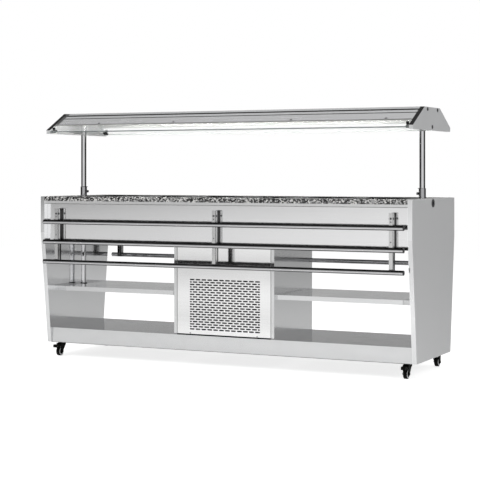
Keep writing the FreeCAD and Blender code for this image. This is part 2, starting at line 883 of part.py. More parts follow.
def posts():
    low, high = shelf_height + foot_thickness, roof_under - head_thickness
    pieces = []
    for side in (-1, 1):
        start = V(side * post_x, 0, low)
        pieces.append(rod(post_radius, high - low, start, along_z).cut(
            rod(post_radius - post_wall, high - low, start, along_z)))
        pieces.append(slab(side * post_x - head_length / 2, side * post_x + head_length / 2,
                           -head_width / 2, head_width / 2, high, roof_under))
    return pieces


def post_feet():
    pieces = []
    for side in (-1, 1):
        start = V(side * post_x, 0, shelf_height)
        disc = rod(foot_radius, foot_thickness, start, along_z)
        plug = rod(post_radius - post_wall - foot_plug_gap, foot_thickness + foot_plug_length,
                   start, along_z)
        pieces.append(fuse([disc, plug]))
    return pieces


def post_collars():
    pieces = []
    for side in (-1, 1):
        sleeve = rod(collar_radius, collar_height, V(side * post_x, 0, counter_height), along_z)
        spigot = rod(spigot_radius, counter_height - spigot_bottom,
                     V(side * post_x, 0, spigot_bottom), along_z)
        nut = rod(collar_nut_radius, collar_nut, V(side * post_x, 0, frame_bottom - collar_nut), along_z)
        bore = rod(post_radius + sleeve_clearance, canopy_top - spigot_bottom,
                   V(side * post_x, 0, spigot_bottom - overrun), along_z)
        hole = rod(thumb_shaft_radius + pin_clearance, collar_radius + overrun,
                   V(side * post_x, 0, counter_height + thumb_height), along_x * -side)
        pieces.append(cut(fuse([sleeve, spigot, nut]), [bore, hole]))
    return pieces


def left_thumbscrew():
    level = counter_height + thumb_height
    tip = post_radius + thumb_tip_gap - post_x
    head = collar_radius + thumb_head_gap - post_x
    shaft = rod(thumb_shaft_radius, head - tip + thumb_head_length / 2, V(tip, 0, level), along_x)
    grip = rod(thumb_head_radius, thumb_head_length, V(head, 0, level), along_x)
    grooves = []
    for i in range(thumb_grooves):
        angle = 2 * math.pi * i / thumb_grooves
        y, z = thumb_head_radius * math.cos(angle), thumb_head_radius * math.sin(angle)
        grooves.append(rod(thumb_groove_radius, thumb_head_length + overrun,
                           V(head - seam, y, level + z), along_x))
    return fuse([cut(grip, grooves), shaft])


# Canopy: bent roof between two end caps, glass on both slopes, lamp inside

def slope_point(down, depth):
    y = -canopy_top_y - down * slope_cos + depth * slope_sin
    z = canopy_top - down * slope_sin - depth * slope_cos
    return y, z


def slope_bar(start, end, top, bottom, x0, x1):
    points = [slope_point(start, top), slope_point(end, top), slope_point(end, bottom),
              slope_point(start, bottom)]
    return prism(points, x0, x1)


def slope_at(width):
    return (width / 2 - canopy_top_y) / slope_cos


def canopy_roof():
    end = canopy_inner_x - seam
    edge = slope_at(roof_width)
    corner = roof_thickness * math.tan(math.atan2(slope_drop, slope_run) / 2)
    front = [slope_point(edge, roof_thickness), slope_point(edge, 0), slope_point(0, 0)]
    inner = (corner - canopy_top_y, roof_under)
    outline = front + [(-y, z) for y, z in front[::-1]] + [(-inner[0], inner[1]), inner]
    shell = prism(outline, -end, end)
    rim = slope_bar(edge - roof_rim_width, edge, 0, roof_rim_depth, -end, end)
    strip = slope_bar(strip_start, strip_start + strip_width, -overrun, strip_depth, -end, end)
    line = slope_bar(line_start, line_start + line_width, -overrun, line_depth, -end, end)
    shell = fuse([shell, rim, flip_y(rim)])
    return cut(shell, [strip, line, flip_y(strip), flip_y(line)])


def canopy_end():
    seal = canopy_end_seal
    corner = canopy_top_y - seal * math.tan(math.atan2(slope_drop, slope_run) / 2)
    low_brow = (-canopy_y, canopy_brow - seal / slope_cos)
    half = [(-corner, canopy_top - seal), low_brow, (-canopy_y, canopy_bottom)]
    outline = half + [(-y, z) for y, z in half[::-1]]
    plate = prism(outline, canopy_inner_x, canopy_length / 2)
    cap = slab(canopy_inner_x, canopy_length / 2, -corner, corner, canopy_top - seal, canopy_top)
    return fuse([plate, cap])


def canopy_seals():
    end = canopy_inner_x - seam
    seal = canopy_end_seal
    strip = slope_bar(strip_start, strip_start + strip_width, 0, strip_depth, -end, end)
    corner = canopy_top_y - seal * math.tan(math.atan2(slope_drop, slope_run) / 2)
    edge = [(-corner, canopy_top), (-canopy_top_y, canopy_top), (-canopy_y, canopy_brow),
            (-canopy_y, canopy_brow - seal / slope_cos), (-corner, canopy_top - seal)]
    right = prism(edge, canopy_inner_x, canopy_length / 2)
    pieces = [strip, right, flip_x(right)]
    return pieces + [flip_y(piece) for piece in pieces]


def front_glass():
    end = canopy_inner_x - glass_side_gap
    return slope_bar(slope_at(glass_top_width), slope_at(glass_low_width), glass_depth,
                     glass_depth + glass_thickness, -end, end)


def glass_clamps():
    spot = slope_at(clamp_width)
    x = canopy_inner_x - clamp_inset
    half = lug_length / 2
    below = glass_depth + glass_thickness
    lug = slope_bar(spot - half, spot + half, below, below + lug_thickness, x - half, canopy_inner_x)
    y, z = slope_point(spot, glass_depth)
    knob = rod(clamp_knob_radius, clamp_knob_height, V(x, y, z), V(0, -slope_sin, slope_cos))
    corner = [lug, knob]
    front = corner + [flip_x(piece) for piece in corner]
    return front + [flip_y(piece) for piece in front]


def lamp_housing():
    half, width = lamp_length / 2, lamp_width / 2
    low = roof_under - lamp_height
    outer = slab(-half, half, -width, width, low, roof_under)
    inner = slab(sheet - half, half - sheet, sheet - width, width - sheet, low - overrun,
                 roof_under - sheet)
    bottom = low - lamp_tube_drop - lamp_tube_radius
    holder = slab(half - sheet - lamp_holder_thickness, half - sheet, -lamp_holder_width / 2,
                  lamp_holder_width / 2, bottom, roof_under - sheet)
    return fuse([outer.cut(inner), holder, flip_x(holder)])


def lamp_tube():
    half = lamp_length / 2 - sheet - lamp_holder_thickness
    level = roof_under - lamp_height - lamp_tube_drop
    return rod(lamp_tube_radius, half + half, V(-half, 0, level), along_x)


# Tray slides: three rails on three channel arms that hinge on wall legs

def front_rails():
    pieces = []
    for level in rail_heights:
        start = V(-rail_length / 2, -rail_y, level)
        pieces.append(rod(rail_radius, rail_length, start, along_x).cut(
            rod(rail_radius - rail_wall, rail_length, start, along_x)))
    return pieces


def front_arm():
    half, rear = arm_width / 2, arm_depth - arm_face
    outer = slab(-half, half, -arm_face, rear, arm_bottom, arm_top)
    inner = slab(arm_wall - half, half - arm_wall, arm_wall - arm_face, rear + overrun,
                 arm_bottom - overrun, arm_top + overrun)
    heel = arm_top - pivot_height
    corner = slab(-half - overrun, half + overrun, -pivot_y, rear + overrun, pivot_height,
                  arm_top + overrun)
    reach = arm_width + overrun
    corner = corner.cut(rod(heel, reach + reach, V(-reach, -pivot_y, pivot_height), along_x))
    hole = rod(pivot_radius + pin_clearance, arm_width + overrun,
               V(-arm_width / 2 - overrun / 2, -pivot_y, pivot_height), along_x)
    return cut(outer, [inner, corner, hole])


def in_arm_places(shape):
    return [moved(shape, i * arm_spacing, 0, 0) for i in (-1, 0, 1)]


def wall_leg():
    half = leg_width / 2
    back = slab(-half, half, -skirt_y - leg_wall, -skirt_y, leg_bottom, arm_top)
    cheek_x = (half - leg_wall, half)
    ear_top = pivot_height + leg_ear_radius
    low = slab(*cheek_x, -skirt_y - leg_depth, -skirt_y, leg_bottom, ear_top)
    ear = slab(*cheek_x, -pivot_y, -skirt_y, pivot_height - leg_ear_radius, ear_top)
    nose = rod(leg_ear_radius, leg_wall, V(cheek_x[0], -pivot_y, pivot_height), along_x)
    stop = slab(*cheek_x, arm_wall + seam - arm_face, -skirt_y, leg_stop_bottom,
                leg_stop_bottom + leg_stop_height)
    cheek = fuse([low, ear, nose, stop])
    hole = rod(pivot_radius + pin_clearance, leg_width + overrun,
               V(-half - overrun / 2, -pivot_y, pivot_height), along_x)
    return fuse([back, cheek, flip_x(cheek)]).cut(hole)


def pivot_pin():
    half = arm_width / 2 + seam
    shaft = rod(pivot_radius, half + half, V(-half, -pivot_y, pivot_height), along_x)
    heads = [rod(pivot_head_radius, pivot_head, V(side * half, -pivot_y, pivot_height), along_x * side)
             for side in (-1, 1)]
    return fuse([shaft] + heads)


def both_sides(shapes):
    return shapes + [flip_y(shape) for shape in shapes]


# Castors are drawn round the swivel axis, trailing towards the guest side; the rear ones are turned about

def castor_places():
    return {"front_left": (-1, -1), "front_right": (1, -1), "rear_left": (-1, 1), "rear_right": (1, 1)}


def at_castor(shape, sides):
    turned = shape if sides[1] < 0 else flip_y(shape)
    return moved(turned, sides[0] * castor_x, sides[1] * castor_y, 0)


def castor_top():
    half = castor_plate / 2
    low = cross_bottom - castor_plate_thickness
    plate = slab(-half, half, -half, half, low, cross_bottom)
    race = rod(race_radius, race_thickness, V(0, 0, low - race_thickness), along_z)
    crown_top = low - race_thickness - race_gap
    crown_low = crown_top - crown_thickness
    pin_low = crown_low - race_gap - kingpin_head
    pin = rod(kingpin_radius, low - pin_low, V(0, 0, pin_low), along_z)
    head = rod(kingpin_head_radius, kingpin_head, V(0, 0, pin_low), along_z)
    return fuse([plate, race, pin, head])


def castor_fork():
    crown_top = cross_bottom - castor_plate_thickness - race_thickness - race_gap
    crown_low = crown_top - crown_thickness
    crown = rod(crown_radius, crown_thickness, V(0, 0, crown_low), along_z)
    inner_x = wheel_width / 2 + fork_gap
    outer_x = inner_x + fork_wall
    tail = -pedal_pivot_trail - pedal_boss_radius
    axle_y = -castor_trail
    bridge = slab(-outer_x, outer_x, -crown_radius / 2, fork_front, crown_low, crown_top)
    flank = [(fork_front, crown_top), (tail, crown_top), (tail, pedal_pivot_height - pedal_boss_radius),
             (axle_y - fork_nose_radius, wheel_radius), (axle_y + fork_nose_radius, wheel_radius),
             (fork_front, crown_low)]
    cheek = prism(flank, inner_x, outer_x)
    nose = rod(fork_nose_radius, fork_wall, V(inner_x, axle_y, wheel_radius), along_x)
    axle = rod(axle_radius, outer_x + outer_x, V(-outer_x, axle_y, wheel_radius), along_x)
    heads = [rod(axle_head_radius, axle_head, V(side * outer_x, axle_y, wheel_radius), along_x * side)
             for side in (-1, 1)]
    pivot = rod(pedal_pivot_radius, outer_x + outer_x, V(-outer_x, -pedal_pivot_trail,
                                                         pedal_pivot_height), along_x)
    frame = fuse([crown, bridge, cheek, nose, flip_x(cheek), flip_x(nose), axle, pivot] + heads)
    bore = rod(kingpin_radius + pin_clearance, cross_bottom, V(0, 0, crown_low - overrun), along_z)
    return frame.cut(bore)


def castor_wheel():
    half = wheel_width / 2
    start = V(-half, -castor_trail, wheel_radius)
    tyre = rod(wheel_radius, wheel_width, start, along_x)
    rims = [e for e in tyre.Edges if e.BoundBox.XLength < seam]
    tyre = tyre.makeFillet(wheel_rounding, rims)
    dishes = [rod(wheel_hub_radius, wheel_dish + overrun, V(side * (half - wheel_dish), -castor_trail,
                                                            wheel_radius), along_x * side)
              for side in (-1, 1)]
    bosses = rod(axle_radius + wheel_dish, wheel_width, start, along_x)
    bore = rod(axle_radius + pin_clearance, wheel_width, start, along_x)
    return fuse([cut(tyre, dishes), bosses]).cut(bore)


def brake_pedal():
    half = wheel_width / 2 + fork_gap - pedal_side_gap
    y, z = -pedal_pivot_trail, pedal_pivot_height
    boss = rod(pedal_boss_radius, half + half, V(-half, y, z), along_x)
    plate = slab(-half, half, y - pedal_reach, y, z + pedal_boss_radius - pedal_thickness,
                 z + pedal_boss_radius)
    shoe = slab(-half, half, y - shoe_offset - shoe_length, y - shoe_offset,
                z + pedal_boss_radius - shoe_height, z + pedal_boss_radius)
    tip_top = z + pedal_boss_radius + pedal_tip_rise
    tip = slab(-half, half, y - pedal_reach, y - pedal_reach + pedal_tip_length, tip_top - pedal_tip_height,
               tip_top)
    hole = rod(pedal_pivot_radius + pin_clearance, half + half, V(-half, y, z), along_x)
    return fuse([boss, plate, shoe, tip]).cut(hole)


# Write one file for each named piece or group of like pieces

save("end_panel_left", left_end_panel())
save("end_panel_right", right_end_panel())
save("stone_top", stone_top())
save("counter_frame", counter_frame())
save("cold_well", cold_well())
save("pan_bars", pan_bars())
save("evaporator_coil", evaporator_coil())
save("well_insulation", well_insulation())
save("drain_pipe", drain_pipe())
save("front_skirt", front_skirt())
save("rear_skirt", flip_y(front_skirt()))
save("well_underside", well_underside())
save("base_deck", base_deck())
save("base_frame", base_frame())
save("machine_walls", [machine_wall(), flip_x(machine_wall())])
save("grille_panel", grille_panel())
save("machine_rear_panel", machine_rear_panel())
save("compressor", compressor())
save("condenser", condenser())
save("fan_unit", fan_unit())
save("fan_blades", fan_blades())
save("refrigerant_pipes", refrigerant_pipes())
save("control_fittings", control_fittings())
save("lamp_rocker", lamp_rocker())
save("power_rocker", power_rocker())
save("thermostat_knob", thermostat_knob())
save("shelf_right", right_shelf())
save("shelf_left", flip_x(right_shelf()))
save("shelf_brackets", shelf_brackets())
save("posts", posts())
save("post_feet", post_feet())
save("post_collars", post_collars())
save("thumbscrew_left", left_thumbscrew())
save("thumbscrew_right", flip_x(left_thumbscrew()))
save("canopy_roof", canopy_roof())
save("canopy_end_right", canopy_end())
save("canopy_end_left", flip_x(canopy_end()))
save("canopy_seals", canopy_seals())
save("glass_front", front_glass())
save("glass_rear", flip_y(front_glass()))
save("glass_clamps", glass_clamps())
save("lamp_housing", lamp_housing())
save("lamp_tube", lamp_tube())
save("tray_wall_legs", both_sides(in_arm_places(wall_leg())))
save("tray_pivot_pins", both_sides(in_arm_places(pivot_pin())))
save("front_rails", front_rails())
save("front_arms", in_arm_places(front_arm()))
save("rear_rails", [flip_y(rail) for rail in front_rails()])
save("rear_arms", [flip_y(arm) for arm in in_arm_places(front_arm())])
save("castor_plates", [at_castor(castor_top(), sides) for sides in castor_places().values()])
for place, sides in castor_places().items():
    save("castor_fork_" + place, at_castor(castor_fork(), sides))
    save("castor_wheel_" + place, at_castor(castor_wheel(), sides))
    if sides[1] < 0:
        save("brake_pedal_" + place, at_castor(brake_pedal(), sides))
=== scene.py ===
import math
import bpy
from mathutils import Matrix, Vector


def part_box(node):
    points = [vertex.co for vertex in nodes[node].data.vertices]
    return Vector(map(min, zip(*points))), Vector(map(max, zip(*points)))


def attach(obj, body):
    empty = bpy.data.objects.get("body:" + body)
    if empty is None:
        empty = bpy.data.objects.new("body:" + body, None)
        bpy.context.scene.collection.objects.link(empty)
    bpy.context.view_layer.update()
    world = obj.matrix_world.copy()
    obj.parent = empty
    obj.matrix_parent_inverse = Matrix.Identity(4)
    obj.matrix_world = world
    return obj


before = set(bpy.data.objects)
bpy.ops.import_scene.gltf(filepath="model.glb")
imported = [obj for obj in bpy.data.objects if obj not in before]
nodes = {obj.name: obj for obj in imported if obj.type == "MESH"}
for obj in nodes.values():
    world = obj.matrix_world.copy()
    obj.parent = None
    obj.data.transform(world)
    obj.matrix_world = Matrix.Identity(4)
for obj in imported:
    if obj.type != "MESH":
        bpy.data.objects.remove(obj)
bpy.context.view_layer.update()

print("frame loaded:", len(nodes), "nodes")

evenly = (1, 1, 1)  # stretch of a pattern along X, Y and Z
alongX = (4, 900, 900)
alongZ = (900, 900, 4)


def shaderOf(finish):
    return next(n for n in finish.node_tree.nodes if n.type == "BSDF_PRINCIPLED")


def newFinish(name):  # an empty principled material
    finish = bpy.data.materials.new(name)
    finish.use_nodes = True
    return finish, finish.node_tree, shaderOf(finish)


def pieceCoords(tree, stretch):  # the piece's own coordinates, stretched
    place = tree.nodes.new("ShaderNodeTexCoord")
    mapping = tree.nodes.new("ShaderNodeMapping")
    mapping.inputs["Scale"].default_value = stretch
    tree.links.new(place.outputs["Object"], mapping.inputs["Vector"])
    return mapping.outputs["Vector"]


def axesOf(tree, vector):  # X, Y and Z of a vector
    axes = tree.nodes.new("ShaderNodeSeparateXYZ")
    tree.links.new(vector, axes.inputs["Vector"])
    return axes.outputs


def noiseOn(tree, stretch, scale, detail):
    noise = tree.nodes.new("ShaderNodeTexNoise")
    noise.inputs["Scale"].default_value = scale
    noise.inputs["Detail"].default_value = detail
    tree.links.new(pieceCoords(tree, stretch), noise.inputs["Vector"])
    return noise.outputs["Fac"]


def ranged(tree, source, low, high, start=0.3, stop=0.7):  # low at start, high at stop
    node = tree.nodes.new("ShaderNodeMapRange")
    node.interpolation_type = "SMOOTHSTEP"
    for socket, value in (("From Min", start), ("From Max", stop), ("To Min", low), ("To Max", high)):
        node.inputs[socket].default_value = value
    tree.links.new(source, node.inputs["Value"])
    return node.outputs["Result"]


def mathOf(tree, operation, first, second=0.0):  # in shader and geometry trees alike
    node = tree.nodes.new("ShaderNodeMath")
    node.operation = operation
    for socket, value in zip(node.inputs, (first, second)):
        if isinstance(value, (int, float)):
            socket.default_value = value
        else:
            tree.links.new(value, socket)
    return node.outputs["Value"]


def blend(tree, first, firstShare, second, secondShare):  # a weighted sum
    return mathOf(tree, "ADD", mathOf(tree, "MULTIPLY", first, firstShare),
                  mathOf(tree, "MULTIPLY", second, secondShare))


def fade(tree, share, first, second):  # between two values, by share
    step = mathOf(tree, "MULTIPLY", share, mathOf(tree, "SUBTRACT", second, first))
    return mathOf(tree, "ADD", step, first)


def placeOf(tree, axis):  # a point's distance from the middle along one axis
    return mathOf(tree, "ABSOLUTE", axesOf(tree, pieceCoords(tree, evenly))[axis])


def colourBetween(tree, source, stops):  # stops: (position, grey or colour)
    ramp = tree.nodes.new("ShaderNodeValToRGB")
    while len(ramp.color_ramp.elements) < len(stops):
        ramp.color_ramp.elements.new(0.5)
    for element, (position, colour) in zip(ramp.color_ramp.elements, stops):
        element.position = position
        element.color = (*colour, 1) if isinstance(colour, tuple) else (colour, colour, colour, 1)
    tree.links.new(source, ramp.inputs["Fac"])
    return ramp.outputs["Color"]


def paint(tree, shader, source, stops):
    tree.links.new(colourBetween(tree, source, stops), shader.inputs["Base Color"])


def bumpFrom(tree, shader, source, strength, distance):
    bump = tree.nodes.new("ShaderNodeBump")
    bump.inputs["Strength"].default_value = strength
    bump.inputs["Distance"].default_value = distance
    tree.links.new(source, bump.inputs["Height"])
    tree.links.new(bump.outputs["Normal"], shader.inputs["Normal"])


def tinted(colour, share):
    return tuple(min(1.0, part * share) for part in colour)


def sheetSteel(name, colour, roughness, grain, marks=0.05, depth=0.06, metallic=1.0):
    # grain: stretch of the brushing; marks: spread of the roughness; depth: strength of the lines
    finish, tree, shader = newFinish(name)
    shader.inputs["Metallic"].default_value = metallic
    lines = noiseOn(tree, grain, 1.0, 2.0)
    smears = noiseOn(tree, evenly, 5.0, 4.0)
    both = blend(tree, lines, 0.65, smears, 0.35)
    paint(tree, shader, both, ((0.3, tinted(colour, 0.93)), (0.7, tinted(colour, 1.04))))
    tree.links.new(ranged(tree, both, roughness - marks, roughness + marks), shader.inputs["Roughness"])
    bumpFrom(tree, shader, lines, depth, 0.0004)
    return finish


def polishedMetal(name, roughness):  # uneven gloss and fine pits, still without a colour
    finish, tree, shader = newFinish(name)
    shader.inputs["Metallic"].default_value = 1.0
    smears = noiseOn(tree, evenly, 14.0, 4.0)
    specks = noiseOn(tree, evenly, 240.0, 2.0)
    tree.links.new(ranged(tree, smears, roughness * 0.6, roughness * 1.5), shader.inputs["Roughness"])
    bumpFrom(tree, shader, specks, 0.03, 0.0003)
    return finish, tree, shader, smears


def chromeTube(name, colour, roughness):
    finish, tree, shader, smears = polishedMetal(name, roughness)
    paint(tree, shader, smears, ((0.35, tinted(colour, 0.95)), (0.65, colour)))
    return finish


def facedSteel(name, colour, dark, roughness, axis, start, stop, rows=None):
    # bright beyond a distance from the middle, dark within it; rows: lowest level and pitch of tubes
    finish, tree, shader, smears = polishedMetal(name, roughness)
    share = ranged(tree, placeOf(tree, axis), 0.0, 1.0, start, stop)
    if rows:  # painted dark reflections along the tubes' tops and undersides
        level, pitch = rows
        off = mathOf(tree, "PINGPONG", mathOf(tree, "SUBTRACT", placeOf(tree, "Z"), level), pitch / 2)
        share = mathOf(tree, "MULTIPLY", share, ranged(tree, off, 1.0, 0.2, 0.0060, 0.0085))
    paint(tree, shader, blend(tree, share, 0.8, smears, 0.2), (
        (0.05, tinted(dark, 0.85)), (0.15, dark), (0.86, tinted(colour, 0.95)), (0.95, colour)))
    return finish


def bandedSteel(name, roughness, axis, span, bands):  # bands: (share of the span along one axis, grey)
    finish, tree, shader, smears = polishedMetal(name, roughness)
    low, high = span
    place = mathOf(tree, "DIVIDE", mathOf(tree, "SUBTRACT", placeOf(tree, axis), low), high - low)
    uneven = mathOf(tree, "MULTIPLY", mathOf(tree, "SUBTRACT", smears, 0.5), 0.04)
    paint(tree, shader, mathOf(tree, "ADD", place, uneven), bands)
    return finish


def endSteel(name, colour, places):  # satin outer face, polished edges, polished inner sheet with painted light above the shelf and painted shade below it
    finish, tree, shader = newFinish(name)
    lines = noiseOn(tree, alongZ, 1.0, 2.0)
    smears = noiseOn(tree, evenly, 4.0, 4.0)
    across = placeOf(tree, "X")
    outside = ranged(tree, across, 0.0, 1.0, *places["outside"])
    edge = ranged(tree, across, 0.0, 1.0, *places["edge"])
    paintedLightAboveShelf = ranged(tree, placeOf(tree, "Z"), 0.0, 0.25, *places["shelf"])  # painted light above the shelf
    tree.links.new(ranged(tree, across, 1.0, 0.45, *places["outside"]), shader.inputs["Metallic"])
    tree.links.new(fade(tree, outside, ranged(tree, smears, 0.07, 0.14), ranged(tree, lines, 0.4, 0.52)),
                   shader.inputs["Roughness"])
    zone = mathOf(tree, "ADD", fade(tree, edge, paintedLightAboveShelf, 0.5), mathOf(tree, "MULTIPLY", outside, 0.3))
    paint(tree, shader, mathOf(tree, "ADD", zone, mathOf(tree, "MULTIPLY", lines, 0.2)), (
        (0.05, tinted(colour, 0.94)), (0.15, tinted(colour, 0.98)),  # inner sheet below the shelf, painted shade
        (0.30, tinted(colour, 1.22)), (0.40, tinted(colour, 1.26)),  # inner sheet above it, painted light
        (0.55, tinted(colour, 1.04)), (0.65, tinted(colour, 1.10)),  # edges
        (0.86, tinted(colour, 0.90)), (0.95, tinted(colour, 0.94))))  # outer face
    bumpFrom(tree, shader, lines, 0.05, 0.0004)
    return finish


def roofSheet(name, colour, places):  # brushed above, painted shade in the groove, white below
    finish, tree, shader = newFinish(name)
    lines = noiseOn(tree, alongX, 1.0, 2.0)
    smears = noiseOn(tree, evenly, 5.0, 4.0)
    run = mathOf(tree, "MAXIMUM", mathOf(tree, "SUBTRACT", placeOf(tree, "Y"), places["flat"]), 0.0)
    face = mathOf(tree, "SUBTRACT", places["top"], mathOf(tree, "MULTIPLY", run, places["slope"]))
    below = mathOf(tree, "SUBTRACT", face, axesOf(tree, pieceCoords(tree, evenly))["Z"])
    depth = mathOf(tree, "MULTIPLY", below, 100.0)  # in centimetres
    # painted shade: near-black and nearly without gloss in the groove
    paint(tree, shader, mathOf(tree, "ADD", depth, mathOf(tree, "MULTIPLY", lines, 0.03)), (
        (0.0, tinted(colour, 0.97)), (0.05, tinted(colour, 1.03)), (0.07, 0.012), (0.2, 0.012),
        (0.27, (0.86, 0.86, 0.84))))
    tree.links.new(ranged(tree, depth, 0.5, 0.0, 0.2, 0.27), shader.inputs["Metallic"])
    tree.links.new(ranged(tree, depth, 0.5, 0.02, 0.05, 0.08), shader.inputs["Specular IOR Level"])
    tree.links.new(ranged(tree, blend(tree, lines, 0.6, smears, 0.4), 0.19, 0.29), shader.inputs["Roughness"])
    bumpFrom(tree, shader, lines, 0.02, 0.0004)
    return finish


def speckledStone(name):
    finish, tree, shader = newFinish(name)
    cells = tree.nodes.new("ShaderNodeTexVoronoi")
    cells.inputs["Scale"].default_value = 150.0
    cells.inputs["Randomness"].default_value = 1.0
    tree.links.new(pieceCoords(tree, evenly), cells.inputs["Vector"])
    toGrey = tree.nodes.new("ShaderNodeSeparateColor")
    tree.links.new(cells.outputs["Color"], toGrey.inputs["Color"])
    clouds = noiseOn(tree, evenly, 60.0, 5.0)
    grains = blend(tree, toGrey.outputs["Red"], 0.7, clouds, 0.3)
    paint(tree, shader, grains, ((0.30, 0.014), (0.46, 0.07), (0.56, 0.29), (0.68, 0.52),
                                 (0.78, (0.74, 0.73, 0.71))))
    tree.links.new(ranged(tree, clouds, 0.06, 0.14), shader.inputs["Roughness"])
    bumpFrom(tree, shader, grains, 0.05, 0.0003)
    return finish


def moulded(name, colour, roughness, scale, depth, shine=0.5):  # plastics, rubber, paint, foam
    finish, tree, shader = newFinish(name)
    shader.inputs["Specular IOR Level"].default_value = shine
    grains = noiseOn(tree, evenly, scale, 3.0)
    wear = noiseOn(tree, evenly, scale * 0.06, 4.0)
    paint(tree, shader, wear, ((0.3, tinted(colour, 0.85)), (0.7, tinted(colour, 1.15))))
    tree.links.new(ranged(tree, wear, roughness - 0.08, roughness + 0.08), shader.inputs["Roughness"])
    bumpFrom(tree, shader, grains, depth, 0.0005)
    return finish


def litTube(name, colour, strength):  # opal glass with the lamp on
    finish = moulded(name, colour, 0.3, 200, 0.04)
    shader = shaderOf(finish)
    shader.inputs["Emission Color"].default_value = (1.0, 0.99, 0.97, 1)
    shader.inputs["Emission Strength"].default_value = strength
    return finish


def paneGlass(name, colour):
    finish, tree, shader = newFinish(name)
    shader.inputs["Alpha"].default_value = 0.12
    smears = noiseOn(tree, evenly, 6.0, 4.0)
    paint(tree, shader, smears, ((0.3, tinted(colour, 0.97)), (0.7, colour)))
    tree.links.new(ranged(tree, smears, 0.02, 0.06), shader.inputs["Roughness"])
    return finish


steelTone = (0.74, 0.745, 0.75)
satinTone = (0.72, 0.725, 0.73)
nearBlack = (0.004, 0.004, 0.004)
endPlaces = {"outside": (1.0985, 1.0995), "edge": (1.0755, 1.079), "shelf": (0.365, 0.395)}  # metres
roofPlaces = {"top": 1.3776, "flat": 0.1266, "slope": 0.5382}  # crest, half width of the flat, fall per metre
# painted reflections on the arms' flanks: dark towards the rear, light in the middle, a dark band and a
# bright line at the front
armPaintedReflections = ((0.0, 0.05), (0.36, 0.07), (0.44, 0.60), (0.70, 0.64), (0.76, 0.13), (0.95, 0.15),
            (0.975, 0.64), (1.0, 0.68))
finishMakers = {  # the function that makes each finish, and its values
    "endSteel": (endSteel, steelTone, endPlaces),
    "polishedSheet": (sheetSteel, steelTone, 0.13, alongX),
    "deckSheet": (facedSteel, (0.68, 0.685, 0.69), (0.54, 0.545, 0.55), 0.12, "Y", 0.2702, 0.2712),
    "skirtSheet": (sheetSteel, (0.89, 0.89, 0.895), 0.13, alongX, 0.02, 0.02),
    "satinSheet": (sheetSteel, satinTone, 0.32, alongX, 0.07),
    "satinUpright": (sheetSteel, satinTone, 0.3, alongZ, 0.07),
    "coverSheet": (sheetSteel, (0.93, 0.93, 0.93), 0.09, alongX, 0.03, 0.03),
    "stripSteel": (sheetSteel, (0.84, 0.84, 0.84), 0.36, alongX, 0.05),
    "armSteel": (bandedSteel, 0.20, "Y", (0.3245, 0.3595), armPaintedReflections),
    "postTube": (chromeTube, (0.62, 0.62, 0.63), 0.05),
    "collarChrome": (chromeTube, (0.40, 0.40, 0.41), 0.07),
    # rails: painted shade on the sides that face the body, painted dark reflections along their tops and
    # undersides
    "railTube": (facedSteel, (0.56, 0.56, 0.57), (0.06, 0.06, 0.062), 0.06, "Y", 0.364, 0.372,
                 (0.541, 0.111)),
    "speckledStone": (speckledStone,),
    "copperPipe": (sheetSteel, (0.78, 0.42, 0.26), 0.28, (60, 60, 60), 0.08),
    "foamBoard": (moulded, (0.72, 0.64, 0.46), 0.9, 300, 0.5),
    "blackPaint": (moulded, (0.02, 0.02, 0.021), 0.38, 500, 0.12),
    "whitePaint": (moulded, (0.78, 0.78, 0.76), 0.36, 500, 0.1),
    "finStock": (sheetSteel, (0.78, 0.79, 0.80), 0.36, (900, 60, 60), 0.08),
    "canopySheet": (roofSheet, (0.48, 0.485, 0.49), roofPlaces),
    "satinCap": (sheetSteel, (0.70, 0.705, 0.71), 0.46, alongZ, 0.06, 0.06, 0.45),
    "blackPlastic": (moulded, (0.022, 0.022, 0.024), 0.42, 700, 0.14),
    "clearGlass": (paneGlass, (0.93, 0.96, 0.95)),
    "opalTube": (litTube, (0.86, 0.86, 0.84), 28.0),
    "castorBlack": (moulded, nearBlack, 0.6, 420, 0.2, 0.1),
    "wheelTyre": (moulded, nearBlack, 0.65, 420, 0.25, 0.1),
    "paleHub": (moulded, (0.86, 0.86, 0.87), 0.42, 500, 0.12),
    "edgeBlack": (moulded, (0.012, 0.012, 0.012), 0.6, 420, 0.2, 0.2),
    "glassEdge": (moulded, (0.17, 0.20, 0.19), 0.2, 300, 0.05),
    # painted light on the rear glass's edge
    "paleEdge": (moulded, (0.78, 0.82, 0.80), 0.2, 300, 0.05),
    # grey seals, and the painted shadow lines under the frame strip and the aprons
    "greySeal": (moulded, (0.16, 0.16, 0.16), 0.6, 420, 0.2),
    # painted shade at the roof's left end
    "trimGrey": (moulded, (0.06, 0.06, 0.06), 0.6, 420, 0.2),
    "sealant": (moulded, (0.50, 0.50, 0.49), 0.45, 260, 0.2),
    "markWhite": (moulded, (0.80, 0.80, 0.78), 0.5, 500, 0.08),
    "screwSteel": (sheetSteel, (0.62, 0.62, 0.63), 0.26, (300, 300, 300), 0.07),
    "darkScrew": (sheetSteel, (0.13, 0.13, 0.135), 0.36, (300, 300, 300), 0.08),
}
finishes = {name: make(name, *values) for name, (make, *values) in finishMakers.items()}

